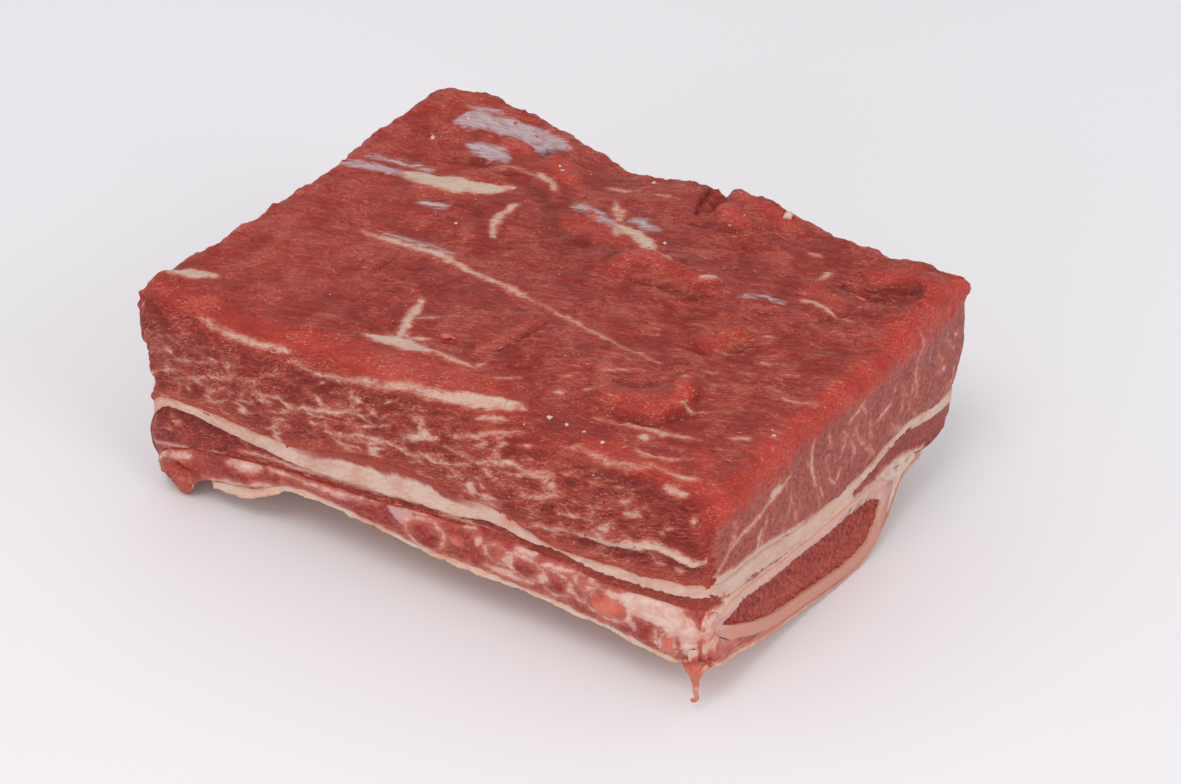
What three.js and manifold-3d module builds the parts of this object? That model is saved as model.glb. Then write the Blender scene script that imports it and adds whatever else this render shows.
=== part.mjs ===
// A raw beef short rib: one rib bone with its layers of meat and fat, cut square across the bone at both ends.
// Millimetres, +Z up, standing on z = 0. +X runs along the bone to the cut end with the open marrow,
// -Y is the long marbled side, and the origin is under the middle of the outer box.
//
// Every layer is drawn in a plain block, 110 x 80 mm, between level surfaces that run right through it.
// One field, carve(), then bends the whole block to its real, uneven outline, so neighbours stay clear.
import * as THREE from "three";
import { mergeVertices } from "three/addons/utils/BufferGeometryUtils.js";
import Module from "manifold-3d";

// ---------------------------------------------------------------- driving dimensions
const LENGTH = 110; // along the bone
const WIDTH = 80; // across the bone
const TOP = 38; // height of the top face over the table
const GAP = 0.32; // clearance that neighbouring layers keep
const X0 = -LENGTH / 2;
const X1 = LENGTH / 2;
const Y0 = -WIDTH / 2;
const Y1 = WIDTH / 2;
const MIDDLE = [1.25, -2]; // moves the block so that the origin is under the middle of the outer box

// Edge radii of the top face: the long marbled side rolls over softly, the sawn ends are crisp.
const ROUND_FRONT = 6.5;
const ROUND_END = 3.2;
const ROUND_BACK = 2.2;
const ROUND_FAR_END = 1.8;
const CORNER_PULL = 1.4; // how far the four upright corners are drawn in

// Heights of the layers where they come out on the four sides: [place along the side, height or thickness].
const SEAM_TOP = {
  front: [
    [-55, 16.3], [-50, 18.2], [-37, 18.5], [-22, 19.1], [-14, 21.6], [2, 22.9],
    [9, 21.7], [17, 22.3], [26, 19.9], [38, 20.7], [55, 22.8],
  ],
  end: [[-40, 22.8], [-33, 21.8], [-28, 22.2], [-15, 20.4], [0, 18.7], [9, 18.4], [20, 20.1], [29, 19.4], [40, 18.9]],
  back: [[-55, 19], [-30, 20.5], [0, 19.6], [30, 20], [55, 18.9]],
  farEnd: [[-40, 16.3], [-25, 18.8], [0, 20.5], [20, 19.5], [40, 19]],
};
const SEAM_THICKNESS = {
  front: [[-55, 2.9], [-50, 1.6], [-34, 2.5], [-22, 3.4], [-14, 5.2], [2, 5.3], [12, 3], [20, 2.6], [27, 1.1], [35, 2.6], [55, 3.3]],
  end: [[-40, 3.3], [-25, 4.2], [-15, 3.2], [0, 2], [12, 1.6], [20, 2.1], [40, 2.6]],
  back: [[-55, 2.6], [-30, 2], [0, 2.6], [30, 2.2], [55, 2.6]],
  farEnd: [[-40, 2.9], [-20, 2.2], [5, 3], [40, 2.6]],
};
const LOWER_THICKNESS = {
  front: [[-55, 9], [-50, 8.5], [-42, 6.2], [-33, 4.2], [-25, 2.6], [-10, 2], [7, 2], [20, 2], [34, 1.3], [55, 1.6]],
  end: [[-40, 1.6], [-32, 0.9], [-10, 0.9], [0, 1.4], [8, 2.6], [20, 4.4], [29, 5.5], [35, 4.8], [40, 3.4]],
  back: [[-55, 4], [-20, 4.6], [20, 4], [55, 3.4]],
  farEnd: [[-40, 9], [-25, 6.4], [0, 5], [20, 5.2], [40, 4]],
};
const UNDERSIDE = {
  front: [
    [-55, 1.4], [-50, 1.6], [-46, 2.2], [-42, 4.3], [-33, 6], [-25, 9.4],
    [-9, 9.8], [2, 8.9], [20, 8.7], [36, 7.9], [50, 7.3], [55, 8.2],
  ],
  end: [
    [-40, 8.2], [-32, 6.5], [-26, 4.6], [-19, 2.8], [-12, 1.6], [-3, 0.4],
    [3, 0], [9, 1.1], [14, 3.9], [21, 8.6], [28, 9.9], [40, 10.9],
  ],
  back: [[-55, 10.6], [0, 10.4], [55, 10.9]],
  farEnd: [[-40, 1.4], [-28, 1.6], [-14, 0.7], [-1, 0], [8, 0.3], [16, 2.8], [24, 8], [32, 9.7], [40, 10.6]],
};

const MEMBRANE = 1.05; // thickness of the film under the bone
const FILM_FRONT = -39.6;
const FILM_BACK = 29;
const LUMP_NOTCH = 4.4; // the film stops this much short behind the red lump of the far front corner
const TAIL_NOTCH = 2; // and this much short behind the hanging shred of the near front corner

// The bone: a flat almond in section, 56 mm wide, cut off at both ends.
const BONE_FRONT = [[-55, -30.5], [-40, -33], [-25, -35], [20, -35.2], [42, -36.6], [55, -38.7]];
const BONE_BACK = [[-55, 18.4], [0, 17.2], [55, 16.6]];
const UNDER_TISSUE = [[-55, 1.3], [0, 1.5], [40, 2.2], [55, 3.3]]; // tissue under the front edge of the bone
const UNDER_TISSUE_END = 0.33; // share of the bone's width where that tissue has thinned out
const CORTEX_TOP = 1.9;
const CORTEX_BOTTOM = 3;
const CORTEX_FRONT = 2.4;
const CORTEX_BACK = 4.6;
const MARROW_RECESS = 0.45; // the spongy core lies this far behind the sawn bone

const FAR_FAT_BACK = 26; // where the fat beyond the bone ends

// The red lump that touches the table under the far front corner, and the shred hanging at the near one.
const LUMP = { middle: [-49.6, -38.9, 3.2], radii: [4.2, 2.5, 3.2] };
const SHRED = { through: [[53.2, -40.1, 11], [53.8, -40.9, 8], [54.2, -41.2, 5], [54.6, -41.1, 2.9]], thick: [2.4, 1.7, 0.9, 0.5] };
// Soft lobes on the long side under the meat: [along the bone, height share, half width, how far it stands out].
const LOBES = [[-38, 0.5, 4, 0.5], [-9, 0.5, 4.5, 0.9], [-1, 0.55, 3, 0.8], [8, 0.45, 4, 0.9], [18, 0.5, 4.5, 0.8], [27, 0.45, 3.6, 0.7], [41, 0.4, 4.4, 0.6]];

const COLOURS = {
  muscle: 0x9c4540,
  darkMuscle: 0x8c3a38,
  fat: 0xd9c3b2,
  bone: 0xc9b3b0,
  marrow: 0x85332f,
  side: 0xb8655c,
  cream: 0xe0cdb0,
  film: 0xcfa48c,
};

// ---------------------------------------------------------------- small tools
const clamp = (value, low, high) => Math.min(high, Math.max(low, value));
const mix = (a, b, t) => a + (b - a) * t;

function smooth(value, low, high) {
  const t = clamp((value - low) / (high - low), 0, 1);
  return t * t * (3 - 2 * t);
}

const hill = (x, y, [cx, cy], [rx, ry]) => Math.exp(-(((x - cx) / rx) ** 2) - ((y - cy) / ry) ** 2);

// A smooth line through [place, value] stations, with the slope of its neighbours at each station.
function line(stations) {
  const slopes = stations.map((_, i) => {
    const a = stations[Math.max(i - 1, 0)];
    const b = stations[Math.min(i + 1, stations.length - 1)];
    return (b[1] - a[1]) / (b[0] - a[0]);
  });
  return (place) => {
    const p = clamp(place, stations[0][0], stations.at(-1)[0]);
    const k = clamp(stations.findLastIndex((s) => s[0] <= p), 0, stations.length - 2);
    const [a, b] = [stations[k], stations[k + 1]];
    const span = b[0] - a[0];
    const t = (p - a[0]) / span;
    const rise = b[1] - a[1];
    const c = 3 * rise - span * (2 * slopes[k] + slopes[k + 1]);
    const d = span * (slopes[k] + slopes[k + 1]) - 2 * rise;
    return a[1] + t * (span * slopes[k] + t * (c + t * d));
  };
}

// A surface over the block that meets its four side lines: a Coons patch.
function patch({ front, end, back, farEnd }) {
  const [f, e, b, l] = [front, end, back, farEnd].map(line);
  const corner = [f(X0), f(X1), b(X0), b(X1)];
  return (x, y) => {
    const u = (x - X0) / LENGTH;
    const v = (y - Y0) / WIDTH;
    const ruled = mix(f(x), b(x), v) + mix(l(y), e(y), u);
    return ruled - mix(mix(corner[0], corner[1], u), mix(corner[2], corner[3], u), v);
  };
}

const seamTop = patch(SEAM_TOP);
const seamThickness = patch(SEAM_THICKNESS);
const lowerThickness = patch(LOWER_THICKNESS);
const rawUnderside = patch(UNDERSIDE);
const underside = (x, y) => Math.max(rawUnderside(x, y), 0); // it rests flat where it would reach below the table
const boneFront = line(BONE_FRONT);
const boneBack = line(BONE_BACK);
const seamBottom = (x, y) => seamTop(x, y) - Math.max(seamThickness(x, y), 0.9);
const boneLevel = (x, y) => seamBottom(x, y) - Math.max(lowerThickness(x, y), 0.85);
const filmTop = (x, y) => underside(x, y) + MEMBRANE;
const underTissue = line(UNDER_TISSUE);
const filmFront = (x) => FILM_FRONT + LUMP_NOTCH * (1 - smooth(x, -45.5, -41)) + TAIL_NOTCH * smooth(x, 48, 51);

// ---------------------------------------------------------------- the uneven outline
// How far each upright side stands out (+) or in (-) of the plain block.
const BACK_BY_HEIGHT = line([[10, -5.4], [12, -4.2], [16, -2.6], [19, -2.9], [23, -0.4], [27, 0.7], [34, 0.6], [42, 0.2]]);
const BACK_BY_LENGTH = line([[-55, 3], [-44, 4.4], [-30, 4.2], [-20, 2.8], [-10, 2], [2, 2.6], [14, 1.9], [24, 0.4], [34, -0.8], [44, -1.2], [55, 0]]);
const FAR_END_BY_HEIGHT = line([[0, 0.6], [4, 1], [16, 0.7], [24, 1.7], [31, 2.7], [38, 1.5], [43, 2]]);
const END_WAVE = 0.45;

function standOut(x, y, z) {
  const back = BACK_BY_HEIGHT(z) + BACK_BY_LENGTH(x) * smooth(z, 12, 26) + 0.4 * Math.sin(x / 6.1 + z / 5);
  const farEnd = FAR_END_BY_HEIGHT(z) - 1.5 * hill(y, 0, [-10, 0], [17, 1]) + 0.4 * Math.sin(y / 5.3 + z / 4);
  const end = END_WAVE * Math.sin(y / 7.3 + z / 6) - 0.5 * smooth(z, 30, 38);
  const front = 0.35 * Math.sin(x / 8.7 + z / 5.5) + 0.5 * smooth(x, 20, 34) * (smooth(z, 24.5, 27) - 0.5);
  return { back, farEnd, end, front };
}

const REACH = 26; // how deep into the block a side's unevenness is felt

function carve([x, y, z]) {
  const side = standOut(x, y, z);
  const near = (distance) => 1 - smooth(distance, 0, REACH);
  const towardEnd = near(X1 - x);
  const towardFarEnd = near(x - X0);
  const towardBack = near(Y1 - y);
  const towardFront = near(y - Y0);
  const cornerX = Math.exp(-Math.min(X1 - x, x - X0) / 2.2);
  const cornerY = Math.exp(-Math.min(Y1 - y, y - Y0) / 2.2);
  const pull = CORNER_PULL * cornerX * cornerY * 0.7;
  return [
    x + side.end * towardEnd - side.farEnd * towardFarEnd - Math.sign(x) * pull,
    y + side.back * towardBack - side.front * towardFront - Math.sign(y) * pull,
    z,
  ];
}

// ---------------------------------------------------------------- the top face
// [x, y] stations of the torn ridges and folds that stand up from the top, with their half width and height.
const RIDGES = [
  { through: [[3.5, 10.1], [9, 13.8], [16.7, 14], [21.3, 13.3]], half: 3.2, height: 1.5 }, // rolled fibre bundle
  { through: [[25, -25], [34, -21], [35.5, -15], [31, -9]], half: 2.6, height: 1.3 }, // rim of the tongue
  { through: [[52, 20], [53.5, 26], [51.5, 33]], half: 2.4, height: 1.3 }, // rim of the far hollow
];

function distanceTo(x, y, through) {
  let best = Infinity;
  for (let i = 0; i + 1 < through.length; i++) {
    const [[ax, ay], [bx, by]] = [through[i], through[i + 1]];
    const [dx, dy] = [bx - ax, by - ay];
    const t = clamp(((x - ax) * dx + (y - ay) * dy) / (dx * dx + dy * dy), 0, 1);
    best = Math.min(best, Math.hypot(x - ax - t * dx, y - ay - t * dy));
  }
  return best;
}

function topHeight(x, y) {
  let z = TOP + 0.35 * Math.sin(x / 13 + 0.6) * Math.cos(y / 11);
  z += 3.4 * hill(x, y, [-51, 42], [17, 14]); // hump of the far corner
  z -= 1.6 * hill(x, y, [-14, 41], [8, 11]); // saddle in the far edge
  z += 2 * hill(x, y, [15, 40], [8, 8]); // lump beside the cleft
  z -= 2.4 * Math.exp(-((distanceTo(x, y, [[6.9, 32.5], [5.3, 41.3]]) / 1.8) ** 2)); // cleft
  z += 1.1 * hill(x, y, [17, -17], [17, 8]); // tongue
  z -= 2 * hill(x, y, [45, 28], [7, 4.5]); // hollow of the far corner
  z -= 1.2 * smooth(x, 27, 32) * hill(x, y, [36, 1], [12, 8]); // torn step
  z -= 1.3 * hill(x, y, [-30, 33], [4, 3]); // pit under the silver skin
  for (const { through, half, height } of RIDGES)
    z += height * Math.exp(-((distanceTo(x, y, through) / half) ** 2));
  return z;
}

const edgeDrop = (distance, radius) =>
  distance >= radius ? 0 : radius - Math.sqrt(radius ** 2 - (radius - distance) ** 2);

function roundedTop(x, y) {
  const drop =
    edgeDrop(y - Y0, ROUND_FRONT) + edgeDrop(Y1 - y, ROUND_BACK) + edgeDrop(X1 - x, ROUND_END) + edgeDrop(x - X0, ROUND_FAR_END);
  return topHeight(x, y) - Math.min(drop, ROUND_FRONT + 1.2);
}

// ---------------------------------------------------------------- closed meshes from grids
const evenLines = (low, high, count) => Array.from({ length: count }, (_, i) => mix(low, high, i / (count - 1)));

// Grid lines over low..high that crowd towards both ends, as a rounded edge needs.
function edgeLines(low, high, radiusLow, radiusHigh, count) {
  const arc = [0, 0.13, 0.5];
  return [
    ...arc.map((a) => low + a * radiusLow),
    ...evenLines(low + radiusLow, high - radiusHigh, count),
    ...arc.map((a) => high - a * radiusHigh).reverse(),
  ];
}

// Grid points over the block: a row of ys(x) at each of xs, at the given height.
const lift = (xs, ys, height) => xs.map((x) => ys(x).map((y) => [x, y, height(x, y)]));

// The points of a grid's border, anticlockwise seen from above.
function border(grid) {
  const [n, m] = [grid.length, grid[0].length];
  const loop = [];
  for (let i = 0; i < n - 1; i++) loop.push(grid[i][0]);
  for (let j = 0; j < m - 1; j++) loop.push(grid[n - 1][j]);
  for (let i = n - 1; i > 0; i--) loop.push(grid[i][m - 1]);
  for (let j = m - 1; j > 0; j--) loop.push(grid[0][j]);
  return loop;
}

// Shares of a closed loop's length, seen from above, at each of its points and at its end.
function shares(loop) {
  const sums = [0];
  loop.forEach((a, i) => {
    const b = loop[(i + 1) % loop.length];
    sums.push(sums[i] + Math.hypot(b[0] - a[0], b[1] - a[1]));
  });
  return sums.map((s) => s / sums.at(-1));
}

class Skin {
  constructor() {
    this.triangles = [];
  }

  quad(a, b, c, d) {
    this.triangles.push([a, b, c], [a, c, d]);
  }

  // Faces of a grid of points, facing up, or down when turned.
  grid(points, turned = false) {
    for (let i = 0; i + 1 < points.length; i++)
      for (let j = 0; j + 1 < points[0].length; j++) {
        const [a, b, c, d] = [points[i][j], points[i + 1][j], points[i + 1][j + 1], points[i][j + 1]];
        if (turned) this.quad(a, d, c, b);
        else this.quad(a, b, c, d);
      }
  }

  // A wall between an upper and a lower loop with as many points.
  wall(upper, lower) {
    upper.forEach((a, k) => {
      const next = (k + 1) % upper.length;
      this.quad(a, lower[k], lower[next], upper[next]);
    });
  }

  // A wall between two loops with different numbers of points, which step on by their share of the length.
  stitch(upper, lower) {
    const [up, low] = [shares(upper), shares(lower)];
    let [i, j] = [0, 0];
    while (i < upper.length || j < lower.length) {
      const [a, b] = [upper[i % upper.length], lower[j % lower.length]];
      if (j >= lower.length || (i < upper.length && up[i + 1] <= low[j + 1])) {
        i++;
        this.triangles.push([a, b, upper[i % upper.length]]);
      } else {
        j++;
        this.triangles.push([a, b, lower[j % lower.length]]);
      }
    }
  }

  // One closed skin: the grids over and under, and the rim between them.
  sheet(over, under) {
    this.grid(over);
    this.grid(under, true);
    this.wall(border(over), border(under));
    return this;
  }

  // A tube through rings of equal count, which run clockwise seen from +X, facing out or in.
  tube(rings, outward) {
    for (let i = 0; i + 1 < rings.length; i++)
      rings[i].forEach((a, k) => {
        const next = (k + 1) % rings[i].length;
        const [b, c, d] = [rings[i + 1][k], rings[i + 1][next], rings[i][next]];
        if (outward) this.quad(a, b, c, d);
        else this.quad(a, d, c, b);
      });
  }

  // The flat cut face between an outer and an inner ring, facing +X or -X.
  cutFace(outer, inner, towardX1) {
    outer.forEach((a, k) => {
      const next = (k + 1) % outer.length;
      if (towardX1) this.quad(a, inner[k], inner[next], outer[next]);
      else this.quad(a, outer[next], inner[next], inner[k]);
    });
  }

  // The whole face inside one ring of 2 x half points, joined straight across: it faces the side from which
  // the ring runs anticlockwise, or the other side when turned.
  plug(ring, half, turned = false) {
    for (let k = 0; k < half; k++) {
      const corners = [ring[k], ring[k + 1], ring[2 * half - k - 1], ring[(2 * half - k) % (2 * half)]];
      const loop = corners.filter((point, i) => corners.indexOf(point) === i);
      if (turned) loop.reverse();
      for (let i = 1; i + 1 < loop.length; i++) this.triangles.push([loop[0], loop[i], loop[i + 1]]);
    }
  }

  // The skin bent to the block's real outline.
  geometry() {
    const places = this.triangles.flatMap((triangle) => triangle.flatMap(carve));
    return new THREE.BufferGeometry().setAttribute("position", new THREE.Float32BufferAttribute(places, 3));
  }
}

// ---------------------------------------------------------------- the layers
const LAYER_X = evenLines(X0, X1, 23);
const LAYER_Y = evenLines(Y0, Y1, 17);
const acrossBlock = (height, xs = LAYER_X, ys = LAYER_Y) => lift(xs, () => ys, height);

function upperMuscle() {
  const WALL_ROWS = [0, 0.3, 0.6, 0.86]; // shares of the side's height, from the top edge down
  const xs = edgeLines(X0, X1, ROUND_FAR_END, ROUND_END, 29);
  const ys = edgeLines(Y0, Y1, ROUND_FRONT, ROUND_BACK, 20);
  const sole = (x, y) => seamTop(x, y) + GAP;
  const over = acrossBlock(roundedTop, xs, ys);
  const under = acrossBlock(sole);
  const rows = WALL_ROWS.map((share) => border(over).map(([x, y, z]) => [x, y, mix(z, sole(x, y), share)]));
  const skin = new Skin();
  skin.grid(over);
  skin.grid(under, true);
  for (let k = 0; k + 1 < rows.length; k++) skin.wall(rows[k], rows[k + 1]);
  skin.stitch(rows.at(-1), border(under));
  return skin.geometry();
}

const fatSeam = () =>
  new Skin().sheet(acrossBlock(seamTop), acrossBlock((x, y) => seamBottom(x, y) + GAP)).geometry();

function lowerMuscle() {
  const INSET = 0.55; // the softer band lies a little behind the fat over it
  const ys = evenLines(Y0 + INSET, Y1 - INSET, LAYER_Y.length);
  const sole = (x, y) => boneLevel(x, y) + GAP;
  return new Skin().sheet(acrossBlock(seamBottom, LAYER_X, ys), acrossBlock(sole, LAYER_X, ys)).geometry();
}

// The bone's section at length x, at the share q of its width from its front edge, 0, to its back edge, 1.
function boneHeights(x, q) {
  const y = mix(boneFront(x), boneBack(x), q);
  const tissue = underTissue(x) * Math.max(1 - q / UNDER_TISSUE_END, 0) ** 1.3;
  const over = boneLevel(x, y) - 1.2 * smooth(q, 0.84, 1) ** 2;
  const under = filmTop(x, y) + GAP + tissue + 1.4 * smooth(q, 0.9, 1) ** 2;
  return { y, over, under };
}

const RING = 15; // points along each of the upper and lower halves of a ring
const THINNEST_CORE = 1;

// A closed ring round the bone's section. With a core, it runs that far inside the bone instead.
function boneRing(x, core) {
  const inside = core ?? { front: 0, back: 0, top: 0, bottom: 0, half: 0 };
  const width = boneBack(x) - boneFront(x);
  const point = (k, side) => {
    const t = (1 - Math.cos((Math.PI * k) / RING)) / 2;
    const { y, over, under } = boneHeights(x, mix(inside.front / width, 1 - inside.back / width, t));
    const middle = (over - inside.top + under + inside.bottom) / 2;
    const half = Math.max((over - inside.top - under - inside.bottom) / 2, inside.half);
    return [x, y, middle + side * half * Math.min(1, 1.9 * Math.sqrt(Math.sin(Math.PI * t)))];
  };
  const upper = Array.from({ length: RING }, (_, k) => point(k, 1));
  const lower = Array.from({ length: RING }, (_, k) => point(RING - k, -1));
  return [...upper, ...lower];
}

const coreInside = (spare) => ({
  front: CORTEX_FRONT - spare,
  back: CORTEX_BACK - spare,
  top: CORTEX_TOP - spare,
  bottom: CORTEX_BOTTOM - spare,
  half: THINNEST_CORE / 2 + spare,
});

const BONE_X = evenLines(X0, X1, 17);

function ribBone() {
  const outer = BONE_X.map((x) => boneRing(x));
  const inner = BONE_X.map((x) => boneRing(x, coreInside(GAP)));
  const skin = new Skin();
  skin.tube(outer, true);
  skin.tube(inner, false);
  skin.cutFace(outer.at(-1), inner.at(-1), true);
  skin.cutFace(outer[0], inner[0], false);
  return skin.geometry();
}

function ribMarrow() {
  const rings = evenLines(X0 + MARROW_RECESS, X1 - MARROW_RECESS, BONE_X.length).map((x) => boneRing(x, coreInside(0)));
  const skin = new Skin();
  skin.tube(rings, true);
  skin.plug(rings.at(-1), RING, true);
  skin.plug(rings[0], RING);
  return skin.geometry();
}

// ---------------------------------------------------------------- tissue in front of and under the bone
const lobeAt = (x, share) =>
  LOBES.reduce((sum, [at, height, half, out]) => sum + out * hill(x, share, [at, height], [half, 0.34]), 0);

// A solid made of closed skins that run into each other.
async function fused(...geometries) {
  const wasm = await Module();
  wasm.setup();
  const solids = geometries.map((geometry) => {
    const merged = mergeVertices(geometry, 1e-3);
    return new wasm.Manifold(
      new wasm.Mesh({
        numProp: 3,
        vertProperties: merged.attributes.position.array,
        triVerts: new Uint32Array(merged.index.array),
      }),
    );
  });
  const mesh = solids.reduce((whole, solid) => whole.add(solid)).getMesh();
  return new THREE.BufferGeometry()
    .setAttribute("position", new THREE.BufferAttribute(mesh.vertProperties, 3))
    .setIndex(new THREE.BufferAttribute(mesh.triVerts, 1));
}

function sideTissueBody() {
  const FACE = 6; // steps up the long face
  const SOLE = 5; // steps under the bone
  const SOLE_SHARE = 0.22; // share of the bone's width that the tissue reaches under it
  const xs = evenLines(X0, X1, 2 * LAYER_X.length - 1);
  // Clear of the coarser faces over it, which cut across the steep rise by the far end.
  const ceiling = (x, y) => boneLevel(x, y) - 0.22 - 0.5 * smooth(-x, 49, 53);
  const soleLine = (x, t) => mix(Y0, mix(boneFront(x), boneBack(x), SOLE_SHARE), t);
  const outer = xs.map((x) => {
    const low = filmTop(x, Y0) + GAP;
    const high = ceiling(x, Y0);
    const sole = evenLines(1, 0, SOLE + 1).map((t) => [x, soleLine(x, t), filmTop(x, soleLine(x, t)) + GAP]);
    const face = evenLines(0, 1, FACE + 1).map((t) => [x, Y0 - lobeAt(x, t), mix(low, high, t)]);
    return [...sole, ...face.slice(1)];
  });
  const inner = xs.map((x) => {
    const front = boneFront(x) - GAP;
    const sole = evenLines(1, 0, SOLE + 1).map((t) => {
      const { y, under } = boneHeights(x, t * SOLE_SHARE);
      return [x, t ? y : front, under - GAP];
    });
    const low = sole.at(-1)[2];
    const face = evenLines(0, 1, FACE + 1).map((t) => [x, front, mix(low, ceiling(x, front), t)]);
    return [...sole, ...face.slice(1)];
  });
  return new Skin().sheet(outer, inner).geometry();
}

function lump() {
  const ball = new THREE.SphereGeometry(1, 14, 10).scale(...LUMP.radii).translate(...LUMP.middle);
  ball.deleteAttribute("normal").deleteAttribute("uv");
  return ball;
}

function shred() {
  const SIDES = 8;
  const rings = SHRED.through.map(([x, y, z], i) =>
    Array.from({ length: SIDES }, (_, k) => {
      const angle = (2 * Math.PI * k) / SIDES;
      const r = SHRED.thick[i] / 2;
      return [x + r * Math.cos(angle), y + r * 0.8 * Math.sin(angle), z];
    }),
  );
  const skin = new Skin();
  for (let i = 0; i + 1 < rings.length; i++) skin.wall(rings[i], rings[i + 1]);
  skin.plug(rings[0], SIDES / 2);
  skin.plug(rings.at(-1), SIDES / 2, true);
  return skin.geometry();
}

function farFat() {
  const xs = evenLines(X0, X1, 17);
  const ys = (x) => evenLines(boneBack(x) + GAP, FAR_FAT_BACK, 5);
  return new Skin().sheet(lift(xs, ys, boneLevel), lift(xs, ys, (x, y) => filmTop(x, y) + GAP)).geometry();
}

function membrane() {
  const ys = (x) => evenLines(filmFront(x), FILM_BACK, 15);
  return new Skin().sheet(lift(LAYER_X, ys, filmTop), lift(LAYER_X, ys, underside)).geometry();
}

// ---------------------------------------------------------------- the whole rib
function piece(name, geometry, color, roughness) {
  geometry.computeVertexNormals();
  const made = new THREE.Mesh(geometry, new THREE.MeshStandardMaterial({ color, roughness, metalness: 0 }));
  made.name = name;
  return made;
}

const shortRib = new THREE.Group();
shortRib.name = "beef_short_rib";
shortRib.add(
  piece("upper_muscle", upperMuscle(), COLOURS.muscle, 0.45),
  piece("fat_seam", fatSeam(), COLOURS.fat, 0.5),
  piece("lower_muscle", lowerMuscle(), COLOURS.darkMuscle, 0.45),
  piece("rib_bone", ribBone(), COLOURS.bone, 0.5),
  piece("rib_marrow", ribMarrow(), COLOURS.marrow, 0.6),
  piece("side_tissue", await fused(sideTissueBody(), lump(), shred()), COLOURS.side, 0.4),
  piece("far_fat", farFat(), COLOURS.cream, 0.5),
  piece("rib_film", membrane(), COLOURS.film, 0.4),
);
shortRib.position.set(...MIDDLE, 0);

export default shortRib;
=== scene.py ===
"""The look of a raw beef short rib: layers of muscle, fat and bone, with torn fibres and silver skin.

Every layer is drawn in a plain block, in millimetres, between level surfaces that run right through it, and
the whole block is then bent to its real, uneven outline. X runs along the rib bone, -Y is the long marbled
side and +Z is up. Fine relief, strokes of fat and torn edges are put on the dense skins of the layers.
"""

import logging
import math
from dataclasses import dataclass, field
from enum import Enum
from itertools import product
from typing import Any, Callable, Sequence

import bpy
import numpy as np
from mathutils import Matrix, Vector


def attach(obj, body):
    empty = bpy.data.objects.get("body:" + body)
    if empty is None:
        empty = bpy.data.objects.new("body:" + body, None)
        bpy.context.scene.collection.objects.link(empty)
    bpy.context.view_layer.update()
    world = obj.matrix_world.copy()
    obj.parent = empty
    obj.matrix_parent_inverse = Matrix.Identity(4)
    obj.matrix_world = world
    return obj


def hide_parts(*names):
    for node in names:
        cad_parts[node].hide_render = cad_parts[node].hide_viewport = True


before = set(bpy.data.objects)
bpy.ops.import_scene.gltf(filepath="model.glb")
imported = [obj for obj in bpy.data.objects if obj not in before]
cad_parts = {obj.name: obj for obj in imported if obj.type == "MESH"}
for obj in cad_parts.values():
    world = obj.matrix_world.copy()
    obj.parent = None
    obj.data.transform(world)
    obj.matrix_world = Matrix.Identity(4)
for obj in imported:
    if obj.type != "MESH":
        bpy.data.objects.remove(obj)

Array = np.ndarray
Stations = tuple[tuple[float, float], ...]
Colour = tuple[float, float, float]

MM = 0.001
log = logging.getLogger("short_rib")


# ------------------------------------------------------------------ small tools
def smooth(value: Array, low: float, high: float) -> Array:
    """A soft step from 0 at low to 1 at high."""
    t = np.clip((value - low) / (high - low), 0.0, 1.0)
    return t * t * (3.0 - 2.0 * t)


def mix(a: Any, b: Any, t: Any) -> Any:
    """The value at share t of the way from a to b."""
    return a + (b - a) * t


def hill(x: Array, y: Array, centre: Sequence[float], radii: Sequence[float]) -> Array:
    """A soft round hill of height 1."""
    return np.exp(-(((x - centre[0]) / radii[0]) ** 2) - ((y - centre[1]) / radii[1]) ** 2)


def unit(vector: Sequence[float]) -> Array:
    """The vector at length 1."""
    v = np.asarray(vector, float)
    return v / np.linalg.norm(v)


def tint(red: float, green: float, blue: float) -> Colour:
    """A colour given as it looks on a screen, 0 to 255, as the linear values that a shader takes."""
    parts = [c / 255.0 for c in (red, green, blue)]
    linear = [c / 12.92 if c <= 0.04045 else ((c + 0.055) / 1.055) ** 2.4 for c in parts]
    return (linear[0], linear[1], linear[2])


@dataclass(frozen=True)
class Line:
    """A smooth line through stations, with the slope of its neighbours at each station."""

    stations: Stations

    def __call__(self, place: Any) -> Array:
        """The line's value at each place; it stays level beyond its ends."""
        at, value = np.array(self.stations, float).T
        last = len(at) - 1
        before = np.maximum(np.arange(last + 1) - 1, 0)
        after = np.minimum(np.arange(last + 1) + 1, last)
        slope = (value[after] - value[before]) / (at[after] - at[before])
        p = np.clip(place, at[0], at[-1])
        k = np.clip(np.searchsorted(at, p, side="right") - 1, 0, last - 1)
        span = at[k + 1] - at[k]
        t = (p - at[k]) / span
        rise = value[k + 1] - value[k]
        c = 3 * rise - span * (2 * slope[k] + slope[k + 1])
        d = span * (slope[k] + slope[k + 1]) - 2 * rise
        return value[k] + t * (span * slope[k] + t * (c + t * d))


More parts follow.
